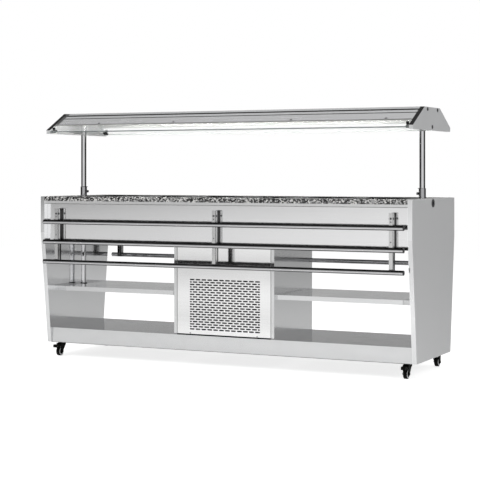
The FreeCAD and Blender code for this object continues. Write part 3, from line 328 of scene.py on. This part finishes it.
castorPlaces = ("front_left", "front_right", "rear_left", "rear_right")
nodeFinish = {  # every CAD node, by its finish
    "endSteel": ["end_panel_left", "end_panel_right"],
    "stripSteel": ["counter_frame"],
    "polishedSheet": ["machine_walls", "shelf_left", "shelf_right"],
    "deckSheet": ["base_deck"],
    "skirtSheet": ["front_skirt", "rear_skirt"],
    "satinSheet": ["cold_well", "pan_bars", "well_underside", "base_frame", "lamp_housing"],
    "satinUpright": ["shelf_brackets"],
    "armSteel": ["front_arms", "rear_arms", "tray_wall_legs"],
    "railTube": ["front_rails"],
    "coverSheet": ["grille_panel", "machine_rear_panel"],
    "postTube": ["posts"],
    "collarChrome": ["post_collars", "rear_rails"],
    "darkScrew": ["thumbscrew_left", "thumbscrew_right", "tray_pivot_pins"],
    "speckledStone": ["stone_top"],
    "copperPipe": ["evaporator_coil", "refrigerant_pipes"],
    "foamBoard": ["well_insulation"],
    "blackPaint": ["compressor", "fan_unit"],
    "finStock": ["condenser"],
    "canopySheet": ["canopy_roof"],
    "satinCap": ["canopy_end_left", "canopy_end_right"],
    "blackPlastic": ["control_fittings", "lamp_rocker", "power_rocker", "thermostat_knob", "fan_blades"],
    "edgeBlack": ["canopy_seals", "glass_clamps", "post_feet"],
    "whitePaint": ["drain_pipe"],
    "clearGlass": ["glass_front", "glass_rear"],
    "opalTube": ["lamp_tube"],
    "castorBlack": ["castor_plates", "brake_pedal_front_left", "brake_pedal_front_right",
                    *("castor_fork_" + place for place in castorPlaces)],
    "wheelTyre": ["castor_wheel_" + place for place in castorPlaces],
}
for finishName, members in nodeFinish.items():
    for member in members:
        mesh = nodes[member].data
        mesh.materials.clear()
        mesh.materials.append(finishes[finishName])
bare = sorted(set(nodes) - {member for members in nodeFinish.values() for member in members})
print("finishes set; nodes without one:", bare)


def treeWith(name, sizes):  # a node tree with named sizes and a finish as inputs
    tree = bpy.data.node_groups.new(name, "GeometryNodeTree")
    tree.interface.new_socket("Geometry", in_out="INPUT", socket_type="NodeSocketGeometry")
    for label in sizes:
        tree.interface.new_socket(label, in_out="INPUT", socket_type="NodeSocketFloat")
    tree.interface.new_socket("Finish", in_out="INPUT", socket_type="NodeSocketMaterial")
    tree.interface.new_socket("Geometry", in_out="OUTPUT", socket_type="NodeSocketGeometry")
    return tree, tree.nodes.new("NodeGroupInput"), tree.nodes.new("NodeGroupOutput")


def closeTree(tree, start, end, geometry):  # real geometry with its finish
    real = tree.nodes.new("GeometryNodeRealizeInstances")
    painted = tree.nodes.new("GeometryNodeSetMaterial")
    tree.links.new(geometry, real.inputs["Geometry"])
    tree.links.new(real.outputs["Geometry"], painted.inputs["Geometry"])
    tree.links.new(start.outputs["Finish"], painted.inputs["Material"])
    tree.links.new(painted.outputs["Geometry"], end.inputs["Geometry"])
    return tree


def vectorOf(tree, **parts):
    node = tree.nodes.new("ShaderNodeCombineXYZ")
    for axis, part in parts.items():
        tree.links.new(part, node.inputs[axis])
    return node.outputs["Vector"]


def pointAxes(tree):  # X, Y and Z of each point
    return axesOf(tree, tree.nodes.new("GeometryNodeInputPosition").outputs["Position"])


def shifted(tree, geometry, offset):  # each point moved by its own offset
    move = tree.nodes.new("GeometryNodeSetPosition")
    tree.links.new(geometry, move.inputs["Geometry"])
    tree.links.new(offset, move.inputs["Offset"])
    return move.outputs["Geometry"]


def raised(tree, geometry, height):  # the whole shape lifted
    lift = tree.nodes.new("GeometryNodeTransform")
    tree.links.new(geometry, lift.inputs["Geometry"])
    tree.links.new(vectorOf(tree, Z=height), lift.inputs["Translation"])
    return lift.outputs["Geometry"]


def block(tree, x, y, z):
    cube = tree.nodes.new("GeometryNodeMeshCube")
    tree.links.new(vectorOf(tree, X=x, Y=y, Z=z), cube.inputs["Size"])
    return cube


def swept(tree, path, profile, capped):  # the profile carried along the path
    sweep = tree.nodes.new("GeometryNodeCurveToMesh")
    sweep.inputs["Fill Caps"].default_value = capped
    tree.links.new(path, sweep.inputs["Curve"])
    tree.links.new(profile, sweep.inputs["Profile Curve"])
    return sweep.outputs["Mesh"]


def circle(tree, radius, sides):
    path = tree.nodes.new("GeometryNodeCurvePrimitiveCircle")
    path.inputs["Resolution"].default_value = sides
    tree.links.new(radius, path.inputs["Radius"])
    return path.outputs["Curve"]


def onSpots(tree, start, shape):  # the shape on each point, turned to its facing
    facing = tree.nodes.new("GeometryNodeInputNamedAttribute")
    facing.data_type = "FLOAT_VECTOR"
    facing.inputs["Name"].default_value = "facing"
    turn = tree.nodes.new("FunctionNodeAlignRotationToVector")
    turn.axis = "Z"
    tree.links.new(facing.outputs["Attribute"], turn.inputs["Vector"])
    place = tree.nodes.new("GeometryNodeInstanceOnPoints")
    tree.links.new(start.outputs["Geometry"], place.inputs["Points"])
    tree.links.new(shape, place.inputs["Instance"])
    tree.links.new(turn.outputs["Rotation"], place.inputs["Rotation"])
    return place.outputs["Instances"]


roundSides = {"screw": 20, "cap": 36, "ring": 40, "bead": 10}
dome = {"depth": 0.0004, "rings": 3, "rimFall": 0.45}  # rimFall: share of Height that is lost at the rim


def domedDisc(tree, start, sides):  # a disc whose top face swells to Height
    disc = tree.nodes.new("GeometryNodeMeshCylinder")
    disc.inputs["Vertices"].default_value = sides
    disc.inputs["Fill Segments"].default_value = dome["rings"]
    disc.inputs["Depth"].default_value = dome["depth"]
    tree.links.new(start.outputs["Radius"], disc.inputs["Radius"])
    axes = pointAxes(tree)
    squareX, squareY = (mathOf(tree, "POWER", axes[axis], 2.0) for axis in ("X", "Y"))
    outward = mathOf(tree, "SQRT", mathOf(tree, "ADD", squareX, squareY))
    share = mathOf(tree, "DIVIDE", outward, start.outputs["Radius"])
    fall = mathOf(tree, "MULTIPLY", mathOf(tree, "POWER", share, 2.0), dome["rimFall"])
    crown = mathOf(tree, "MULTIPLY", mathOf(tree, "SUBTRACT", 1.0, fall), start.outputs["Height"])
    rise = mathOf(tree, "MULTIPLY", crown, mathOf(tree, "GREATER_THAN", axes["Z"], 0.0))
    return shifted(tree, disc.outputs["Mesh"], vectorOf(tree, Z=rise))


crossRecess = {"long": 1.15, "wide": 0.24, "lift": 1.05}  # shares of the head's radius and height


def screwTree():  # pan heads with a cross recess
    tree, start, end = treeWith("crossHeads", ("Radius", "Height"))
    head = domedDisc(tree, start, roundSides["screw"])
    recess = tree.nodes.new("GeometryNodeMeshBoolean")
    recess.operation = "DIFFERENCE"
    tree.links.new(head, recess.inputs["Mesh 1"])
    longSide = mathOf(tree, "MULTIPLY", start.outputs["Radius"], crossRecess["long"])
    wideSide = mathOf(tree, "MULTIPLY", start.outputs["Radius"], crossRecess["wide"])
    lift = mathOf(tree, "MULTIPLY", start.outputs["Height"], crossRecess["lift"])
    for x, y in ((longSide, wideSide), (wideSide, longSide)):
        bar = block(tree, x, y, start.outputs["Height"])
        tree.links.new(raised(tree, bar.outputs["Mesh"], lift), recess.inputs["Mesh 2"])
    return closeTree(tree, start, end, onSpots(tree, start, recess.outputs["Mesh"]))


def capTree():  # smooth domed plugs
    tree, start, end = treeWith("domedCaps", ("Radius", "Height"))
    return closeTree(tree, start, end, onSpots(tree, start, domedDisc(tree, start, roundSides["cap"])))


def ringTree():  # flat rings round an axle or a post
    tree, start, end = treeWith("hubRings", ("Radius", "Width", "Height"))
    profile = tree.nodes.new("GeometryNodeCurvePrimitiveQuadrilateral")
    tree.links.new(start.outputs["Width"], profile.inputs["Width"])
    tree.links.new(start.outputs["Height"], profile.inputs["Height"])
    path = circle(tree, start.outputs["Radius"], roundSides["ring"])
    ring = swept(tree, path, profile.outputs["Curve"], False)
    return closeTree(tree, start, end, onSpots(tree, start, ring))


boltDrums = ((6, 1.0, 0.3, 1.0), (24, 1.35, 0.0, 0.3))  # head, washer: sides; width, foot and top as shares


def boltTree():  # hexagon heads on washers
    tree, start, end = treeWith("hexBolts", ("Radius", "Height"))
    whole = tree.nodes.new("GeometryNodeJoinGeometry")
    for sides, width, low, high in boltDrums:
        drum = tree.nodes.new("GeometryNodeMeshCylinder")
        drum.inputs["Vertices"].default_value = sides
        tree.links.new(mathOf(tree, "MULTIPLY", start.outputs["Radius"], width), drum.inputs["Radius"])
        tree.links.new(mathOf(tree, "MULTIPLY", start.outputs["Height"], high - low), drum.inputs["Depth"])
        lift = mathOf(tree, "MULTIPLY", start.outputs["Height"], (low + high) / 2)
        tree.links.new(raised(tree, drum.outputs["Mesh"], lift), whole.inputs["Geometry"])
    return closeTree(tree, start, end, onSpots(tree, start, whole.outputs["Geometry"]))


def beadTree():  # a round bead along the edges of the input mesh
    tree, start, end = treeWith("sealantBead", ("Radius",))
    path = tree.nodes.new("GeometryNodeMeshToCurve")
    tree.links.new(start.outputs["Geometry"], path.inputs["Mesh"])
    profile = circle(tree, start.outputs["Radius"], roundSides["bead"])
    return closeTree(tree, start, end, swept(tree, path.outputs["Curve"], profile, True))


def barTree():  # short flat bars on points, long side along the facing
    tree, start, end = treeWith("dialBars", ("Length", "Width", "Height"))
    bar = block(tree, start.outputs["Width"], start.outputs["Height"], start.outputs["Length"])
    return closeTree(tree, start, end, onSpots(tree, start, bar.outputs["Mesh"]))


pleatPoints = 361  # eight to a wave


def pleatTree():  # a pleated mat, waves along X
    tree, start, end = treeWith("pleatedMat", ("Width", "Thickness", "Tall", "Pleat", "Waves"))
    mat = block(tree, start.outputs["Width"], start.outputs["Thickness"], start.outputs["Tall"])
    mat.inputs["Vertices X"].default_value = pleatPoints
    share = mathOf(tree, "DIVIDE", pointAxes(tree)["X"], start.outputs["Width"])
    phase = mathOf(tree, "MULTIPLY", share, mathOf(tree, "MULTIPLY", start.outputs["Waves"], math.tau))
    wave = mathOf(tree, "MULTIPLY", mathOf(tree, "SINE", phase), start.outputs["Pleat"])
    folded = shifted(tree, mat.outputs["Mesh"], vectorOf(tree, Y=wave))
    return closeTree(tree, start, end, onSpots(tree, start, folded))


trees = {"screw": screwTree(), "cap": capTree(), "ring": ringTree(), "bolt": boltTree(), "bead": beadTree(),
         "bar": barTree(), "pleat": pleatTree()}
print("node trees built:", len(trees))


def inMetres(points):
    return [tuple(part / 1000 for part in point) for point in points]


def settle(name, treeName, points, edges, facings, sizes, finishName, body):
    # a tree's result as one plain mesh on a body; sizes hold the tree's inputs, in small letters
    seed = bpy.data.meshes.new(name + "Spots")
    seed.from_pydata(inMetres(points), edges, [])
    if facings:
        attribute = seed.attributes.new("facing", "FLOAT_VECTOR", "POINT")
        for entry, facing in zip(attribute.data, facings):
            entry.vector = facing
    carrier = bpy.data.objects.new(name + "Spots", seed)
    bpy.context.scene.collection.objects.link(carrier)
    modifier = carrier.modifiers.new(name, "NODES")
    modifier.node_group = trees[treeName]
    for item in trees[treeName].interface.items_tree:
        if item.in_out == "INPUT" and item.name == "Finish":
            modifier[item.identifier] = finishes[finishName]
        elif item.in_out == "INPUT" and item.name.lower() in sizes:
            modifier[item.identifier] = sizes[item.name.lower()]
    evaluated = carrier.evaluated_get(bpy.context.evaluated_depsgraph_get())
    plain = bpy.data.meshes.new_from_object(evaluated)
    carrier.modifiers.clear()
    bpy.data.objects.remove(carrier)
    for attribute in [a for a in plain.attributes if a.name == "facing"]:
        plain.attributes.remove(attribute)
    piece = bpy.data.objects.new(name, plain)
    bpy.context.scene.collection.objects.link(piece)
    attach(piece, body)


def onPoints(name, treeName, spots, sizes, finishName, body):  # spots: (place in mm, facing)
    places = [place for place, facing in spots]
    facings = [facing for place, facing in spots]
    settle(name, treeName, places, [], facings, sizes, finishName, body)


def beadAlong(name, points, edges, radius, finishName, body):  # points in mm, radius in metres
    settle(name, "bead", points, edges, [], {"radius": radius}, finishName, body)


def reach(node):  # a node's box in millimetres
    return [[part * 1000 for part in corner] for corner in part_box(node)]


# In the dictionaries below a tree's sizes are in metres and places are in millimetres
bothSides = (-1, 1)
oneLine = [(0, 1)]
twoLines = [(0, 1), (2, 3)]

# Screws of the compartment's two covers
coverScrews = {"radius": 0.0034, "height": 0.0022, "grilleX": 201, "grilleRise": 8,
               "rearInset": 14, "rearEdge": 16, "rearRows": 3}
grilleLow, grilleHigh = reach("grille_panel")
rearLow, rearHigh = reach("machine_rear_panel")
grilleLevel = grilleLow[2] + coverScrews["grilleRise"]
spots = [((side * coverScrews["grilleX"], grilleLow[1], grilleLevel), (0, -1, 0)) for side in bothSides]
rowSpan = rearHigh[2] - rearLow[2] - 2 * coverScrews["rearEdge"]
for side in bothSides:
    for row in range(coverScrews["rearRows"]):
        level = rearLow[2] + coverScrews["rearEdge"] + row / (coverScrews["rearRows"] - 1) * rowSpan
        spots.append(((side * (rearHigh[0] - coverScrews["rearInset"]), rearHigh[1], level), (0, 1, 0)))
onPoints("coverScrews", "screw", spots, coverScrews, "screwSteel", "carcass")

# Dust filter behind the slots
dustFilter = {"width": 0.436, "thickness": 0.002, "tall": 0.290, "pleat": 0.002, "waves": 45.0,
              "x": 7, "setBack": 8.5, "z": 324.9}
spots = [((dustFilter["x"], grilleLow[1] + dustFilter["setBack"], dustFilter["z"]), (0, 0, 1))]
onPoints("dustFilter", "pleat", spots, dustFilter, "edgeBlack", "carcass")

# Screws of the canopy's end caps
endScrews = {"radius": 0.0100, "height": 0.0026, "places": ((-77, 1366), (87, 1366), (0, 1276))}
leftFace = reach("canopy_end_left")[0][0]
rightFace = reach("canopy_end_right")[1][0]
spots = [((face, y, z), (side, 0, 0)) for side, face in ((-1, leftFace), (1, rightFace))
         for y, z in endScrews["places"]]
onPoints("endCapScrews", "screw", spots, endScrews, "darkScrew", "canopy")

# Clips along the roof's lower edges, and a dark bar of painted shade at its left end
roofClips = {"radius": 0.0058, "height": 0.002, "places": (-782, -307, 395, 923), "out": 241}
run = roofClips["out"] / 1000 - roofPlaces["flat"]
clipLevel = (roofPlaces["top"] - run * roofPlaces["slope"]) * 1000
tilt = math.atan(roofPlaces["slope"])
spots = [((x, side * roofClips["out"], clipLevel), (0, side * math.sin(tilt), math.cos(tilt)))
         for side in bothSides for x in roofClips["places"]]
onPoints("roofClips", "cap", spots, roofClips, "edgeBlack", "canopy")
endPaintedShade = {"length": 0.134, "width": 0.020, "height": 0.0012, "x": -1057, "down": 70}
along = (0, -math.cos(tilt), -math.sin(tilt))
spots = [((endPaintedShade["x"], -roofPlaces["flat"] * 1000 + endPaintedShade["down"] * along[1],
           roofPlaces["top"] * 1000 + endPaintedShade["down"] * along[2]), along)]
onPoints("roofEndPaintedShade", "bar", spots, endPaintedShade, "trimGrey", "canopy")
print("screws placed")

# Black plugs in the rail ends, and the pivot and screw heads on the arms' fronts
railPlugs = {"radius": 0.0126, "height": 0.0045, "levels": (763, 652, 541)}
armBosses = {"radius": 0.0055, "height": 0.0018, "level": 809}
armScrews = {"radius": 0.003, "height": 0.0018, "levels": (792, 691)}
armPlaces = (-990, 0, 990)
for body, rails, arms, way in (("front_tray", "front_rails", "front_arms", -1),
                               ("rear_tray", "rear_rails", "rear_arms", 1)):
    low, high = reach(rails)
    middle = (low[1] + high[1]) / 2
    spots = [((end, middle, level), (math.copysign(1, end), 0, 0))
             for level in railPlugs["levels"] for end in (low[0], high[0])]
    onPoints(body + "Plugs", "cap", spots, railPlugs, "blackPlastic", body)
    low, high = reach(arms)
    face = low[1] if way < 0 else high[1]
    spots = [((x, face, armBosses["level"]), (0, way, 0)) for x in armPlaces]
    onPoints(body + "ArmBosses", "cap", spots, armBosses, "darkScrew", body)
    spots = [((x, face, level), (0, way, 0)) for x in armPlaces for level in armScrews["levels"]]
    onPoints(body + "ArmScrews", "screw", spots, armScrews, "darkScrew", body)
print("tray plugs and heads placed")

# Castors: hub rings on the wheels, bolts under the plates
hubRings = {"radius": 0.0186, "width": 0.0052, "height": 0.0012, "out": 0.2}
for place in castorPlaces:
    low, high = reach("castor_wheel_" + place)
    centre = [(start + stop) / 2 for start, stop in zip(low, high)]
    halfWidth = (high[0] - low[0]) / 2
    spots = [((centre[0] + side * (halfWidth + hubRings["out"]), centre[1], centre[2]), (side, 0, 0))
             for side in bothSides]
    onPoints("hubRings_" + place, "ring", spots, hubRings, "paleHub", "wheel_" + place)
plateBolts = {"radius": 0.0042, "height": 0.0038, "spread": 23, "plateX": 1035, "plateY": 230, "plate": 3}
boltLevel = reach("castor_plates")[1][2] - plateBolts["plate"]
spots = [((sideX * plateBolts["plateX"] + boltX * plateBolts["spread"],
           sideY * plateBolts["plateY"] + boltY * plateBolts["spread"], boltLevel), (0, 0, -1))
         for sideX in bothSides for sideY in bothSides for boltX in bothSides for boltY in bothSides]
onPoints("plateBolts", "bolt", spots, plateBolts, "screwSteel", "carcass")
print("castor rings and bolts placed")

# Dark seals on top of the post collars
collarSeals = {"radius": 0.0172, "width": 0.0026, "height": 0.0030}
postHigh = reach("posts")[1]
postX = postHigh[0] - postHigh[1]  # outermost point less the radius
collarTop = reach("post_collars")[1][2]
spots = [((side * postX, 0, collarTop), (0, 0, 1)) for side in bothSides]
onPoints("collarSeals", "ring", spots, collarSeals, "edgeBlack", "carcass")

# Sealant between the stone and the end panels
stoneSealant = {"radius": 0.0018, "sink": 0.6, "inset": 1}
stoneLow, stoneHigh = reach("stone_top")
points = [(x, y, stoneHigh[2] - stoneSealant["sink"])
          for x in (stoneLow[0] + stoneSealant["inset"], stoneHigh[0] - stoneSealant["inset"])
          for y in (stoneLow[1], stoneHigh[1])]
beadAlong("stoneSealant", points, twoLines, stoneSealant["radius"], "sealant", "carcass")

# A dark bead along the stone's inner edge, round at the corners: painted shade on the opening's inner wall
wellPaintedShade = {"radius": 0.004, "halfX": 977, "halfY": 254.5, "corner": 12, "drop": 4.2, "steps": 6}
cornerX = wellPaintedShade["halfX"] - wellPaintedShade["corner"]
cornerY = wellPaintedShade["halfY"] - wellPaintedShade["corner"]
points = []
for sideX, sideY, turn in ((1, 1, 0), (-1, 1, 90), (-1, -1, 180), (1, -1, 270)):
    for k in range(wellPaintedShade["steps"] + 1):
        angle = math.radians(turn + 90 * k / wellPaintedShade["steps"])
        points.append((sideX * cornerX + wellPaintedShade["corner"] * math.cos(angle),
                       sideY * cornerY + wellPaintedShade["corner"] * math.sin(angle),
                       stoneHigh[2] - wellPaintedShade["drop"]))
edges = [(k, (k + 1) % len(points)) for k in range(len(points))]
beadAlong("wellPaintedShade", points, edges, wellPaintedShade["radius"], "edgeBlack", "carcass")

# Dark beads: painted shadows under the counter's frame strip and the deck's aprons,
# gaskets in the roof's groove and along its lower edges
beadInset = 1
deckLow = reach("base_deck")[0]
gaskets = {  # body, the node whose length it has, radius, Y, Z, finish
    # the first two rows are painted shadow lines, the last two are gaskets
    "stripPaintedShadow": ("carcass", "front_skirt", 0.0014, 339.0, 865.0, "greySeal"),
    "apronPaintedShadow": ("carcass", "base_deck", 0.0016, -deckLow[1] - beadInset, deckLow[2], "greySeal"),
    "grooveSeals": ("canopy", "canopy_roof", 0.003, 153.9, 1361.7, "edgeBlack"),
    "roofGaskets": ("canopy", "canopy_roof", 0.0018, 250.5, 1309.6, "greySeal"),
}
for name, (body, node, radius, y, z, finishName) in gaskets.items():
    low, high = reach(node)
    points = [(x, side * y, z) for side in bothSides for x in (low[0] + beadInset, high[0] - beadInset)]
    beadAlong(name, points, twoLines, radius, finishName, body)

# Ground edges of the canopy glass; the rear edge's pale colour is painted light
glassEdges = {"radius": 0.003, "inset": 2.2, "rise": 3.6, "endGap": 2}
low, high = reach("glass_front")
for name, side, finishName in (("frontGlassEdge", 1, "glassEdge"), ("rearGlassEdge", -1, "paleEdge")):
    points = [(x, side * (low[1] + glassEdges["inset"]), low[2] + glassEdges["rise"])
              for x in (low[0] + glassEdges["endGap"], high[0] - glassEdges["endGap"])]
    beadAlong(name, points, oneLine, glassEdges["radius"], finishName, "canopy")

# A painted shadow gap under the front cover, dark joints beside it
coverJointsAndShadow = {"footRadius": 0.0024, "sideRadius": 0.0014, "rise": 1.6}
foot = grilleLow[2] + coverJointsAndShadow["rise"]
points = [(x, grilleLow[1], foot) for x in (grilleLow[0], grilleHigh[0])]
beadAlong("coverFootPaintedShadow", points, oneLine, coverJointsAndShadow["footRadius"], "edgeBlack",
          "carcass")
points = [(x, grilleLow[1], z) for x in (grilleLow[0], grilleHigh[0]) for z in (foot, grilleHigh[2])]
beadAlong("coverSideJoints", points, twoLines, coverJointsAndShadow["sideRadius"], "greySeal",
          "carcass")

# Marks round the thermostat
dialMarks = {"length": 0.0052, "width": 0.0012, "height": 0.0006, "count": 8, "ring": 24.5, "sweep": 270,
             "out": 2.5}  # out: from the rear cover
knobLow, knobHigh = reach("thermostat_knob")
centreX = (knobLow[0] + knobHigh[0]) / 2
centreZ = (knobLow[2] + knobHigh[2]) / 2
spots = []
for k in range(dialMarks["count"]):
    angle = math.radians(90 + dialMarks["sweep"] / 2 - k * dialMarks["sweep"] / (dialMarks["count"] - 1))
    facing = (math.cos(angle), 0, math.sin(angle))
    spots.append(((centreX + dialMarks["ring"] * facing[0], rearHigh[1] + dialMarks["out"],
                   centreZ + dialMarks["ring"] * facing[2]), facing))
onPoints("dialMarks", "bar", spots, dialMarks, "markWhite", "carcass")
print("sealant and marks placed")

# The studio: pale floor, white surround, soft lamps
floorPaper = {  # shine: grey by Y; sides: its share at the left and at the right, and where these are
    "size": 18, "tone": 0.50, "glow": 0.75,
    "shine": ((-9, 0.56), (-4.2, 0.52), (-2.4, 0.24), (-1.2, 0.42), (-0.2, 0.40), (1.2, 0.12)),
    "sides": (0.6, 1.15, -4.0, 1.0),
}
bpy.ops.mesh.primitive_plane_add(size=floorPaper["size"])
floor = bpy.context.object
floor.name = "studioFloor"


def seenRays(rays):  # straight to the camera, or through the glass
    return rays.outputs["Is Camera Ray"], rays.outputs["Is Transmission Ray"]


def floorFinish():  # white to the eye, uneven greys in the steel's reflections
    finish, tree, shader = newFinish("floorPaper")
    tree.nodes.remove(shader)
    output = next(n for n in tree.nodes if n.type == "OUTPUT_MATERIAL")
    paper = tree.nodes.new("ShaderNodeBsdfDiffuse")
    paper.inputs["Color"].default_value = (floorPaper["tone"], floorPaper["tone"], floorPaper["tone"], 1)
    glow = tree.nodes.new("ShaderNodeEmission")
    rays = tree.nodes.new("ShaderNodeLightPath")
    axes = axesOf(tree, pieceCoords(tree, evenly))
    depth = mathOf(tree, "ADD", mathOf(tree, "DIVIDE", axes["Y"], floorPaper["size"]), 0.5)
    stops = [(y / floorPaper["size"] + 0.5, grey) for y, grey in floorPaper["shine"]]
    shine = mathOf(tree, "MULTIPLY", colourBetween(tree, depth, stops),
                   ranged(tree, axes["X"], *floorPaper["sides"]))
    seen = mathOf(tree, "MULTIPLY", mathOf(tree, "MAXIMUM", *seenRays(rays)), floorPaper["glow"])
    mirrored = mathOf(tree, "MULTIPLY", rays.outputs["Is Glossy Ray"], shine)
    tree.links.new(mathOf(tree, "MAXIMUM", seen, mirrored), glow.inputs["Strength"])
    both = tree.nodes.new("ShaderNodeAddShader")
    tree.links.new(paper.outputs["BSDF"], both.inputs[0])
    tree.links.new(glow.outputs["Emission"], both.inputs[1])
    tree.links.new(both.outputs["Shader"], output.inputs["Surface"])
    return finish


floor.data.materials.append(floorFinish())

surround = {  # what the steel mirrors; heights are the upward part of the direction
    "diffuseSky": 0.55,
    "front": ((-1, 0.97), (0.18, 0.97), (0.34, 0.04), (1, 0.03)),
    "behind": ((-1, 0.55), (-0.06, 0.5), (-0.03, 0.05), (0.035, 0.05), (0.07, 0.55), (0.09, 0.55),
               (0.115, 0.34), (0.2, 0.36), (0.32, 0.74), (0.80, 0.74), (0.88, 0.05), (1, 0.04)),
    "viewWay": (-0.436, 0.90),  # X and Y of the photograph's line of sight
    "horizon": (-0.024, -0.016), "high": (0.2, 0.32),
    "lowTurn": (-0.7, -0.15), "midTurn": (-0.9, -0.5), "highTurn": (0.35, 0.65),  # front gives way to behind
    "leftShade": (0.66, 1.0, -0.56, -0.42),  # tones at the far left and further right, and where these are
}


def studioWorld():  # plain white to the eye, toned for the steel's reflections
    world = bpy.data.worlds.new("studioWorld")
    world.use_nodes = True
    tree = world.node_tree
    tree.nodes.clear()
    output = tree.nodes.new("ShaderNodeOutputWorld")
    rays = tree.nodes.new("ShaderNodeLightPath")
    axes = axesOf(tree, tree.nodes.new("ShaderNodeTexCoord").outputs["Generated"])
    behind = blend(tree, axes["X"], surround["viewWay"][0], axes["Y"], surround["viewWay"][1])
    height = mathOf(tree, "ADD", mathOf(tree, "MULTIPLY", axes["Z"], 0.5), 0.5)
    above = ranged(tree, axes["Z"], 0.0, 1.0, *surround["horizon"])
    high = ranged(tree, axes["Z"], 0.0, 1.0, *surround["high"])
    lowTurn, midTurn, highTurn = (ranged(tree, behind, 0.0, 1.0, *surround[turn])
                                  for turn in ("lowTurn", "midTurn", "highTurn"))
    backShare = fade(tree, high, fade(tree, above, lowTurn, midTurn), highTurn)
    leftShade = fade(tree, high, 1.0, ranged(tree, axes["X"], *surround["leftShade"]))
    front, back = (colourBetween(tree, height, [((up + 1) / 2, grey) for up, grey in surround[side]])
                   for side in ("front", "behind"))
    plain, soft, shine = (tree.nodes.new("ShaderNodeBackground") for layer in range(3))
    for layer in (plain, soft, shine):
        layer.inputs["Color"].default_value = (1, 1, 1, 1)
    plain.inputs["Strength"].default_value = 1.0
    soft.inputs["Strength"].default_value = surround["diffuseSky"]
    tree.links.new(mathOf(tree, "MULTIPLY", leftShade, fade(tree, backShare, front, back)),
                   shine.inputs["Strength"])
    glossMix = tree.nodes.new("ShaderNodeMixShader")
    seenMix = tree.nodes.new("ShaderNodeMixShader")
    tree.links.new(rays.outputs["Is Glossy Ray"], glossMix.inputs["Fac"])
    tree.links.new(soft.outputs["Background"], glossMix.inputs[1])
    tree.links.new(shine.outputs["Background"], glossMix.inputs[2])
    tree.links.new(mathOf(tree, "MAXIMUM", *seenRays(rays)), seenMix.inputs["Fac"])
    tree.links.new(glossMix.outputs["Shader"], seenMix.inputs[1])
    tree.links.new(plain.outputs["Background"], seenMix.inputs[2])
    tree.links.new(seenMix.outputs["Shader"], output.inputs["Surface"])
    return world


bpy.context.scene.world = studioWorld()

lamps = {  # place, aim, size in metres, watts
    "keyLamp": ((-2.6, -4.2, 4.4), (0, 0, 0.6), 3.0, 130),
    "sideLamp": ((4.6, -1.4, 3.2), (0.4, 0, 0.6), 2.4, 60),
    "topLamp": ((0.2, 0.6, 5.2), (0, 0, 0.8), 3.4, 90),
}
for name, (spot, aim, size, watts) in lamps.items():
    light = bpy.data.lights.new(name, "AREA")
    light.shape = "SQUARE"
    light.size = size
    light.energy = watts
    lamp = bpy.data.objects.new(name, light)
    lamp.location = spot
    lamp.rotation_euler = (Vector(aim) - Vector(spot)).to_track_quat("-Z", "Y").to_euler()
    lamp.visible_camera = False
    lamp.visible_glossy = False
    bpy.context.scene.collection.objects.link(lamp)

photoView = {"lens": 104.58, "sensor": 36, "shiftY": -0.1413, "far": 200,
             "place": (3.3479, -6.9405, 1.0414), "turn": (90, 0, 25.88)}  # degrees
lens = bpy.data.cameras.new("photoCamera")
lens.lens = photoView["lens"]
lens.sensor_width = photoView["sensor"]
lens.shift_y = photoView["shiftY"]
lens.clip_end = photoView["far"]
camera = bpy.data.objects.new("photoCamera", lens)
camera.location = photoView["place"]
camera.rotation_euler = [math.radians(angle) for angle in photoView["turn"]]
bpy.context.scene.collection.objects.link(camera)
bpy.context.scene.camera = camera
bpy.context.scene.view_settings.view_transform = "Standard"
print("studio and camera set")

bpy.context.view_layer.update()
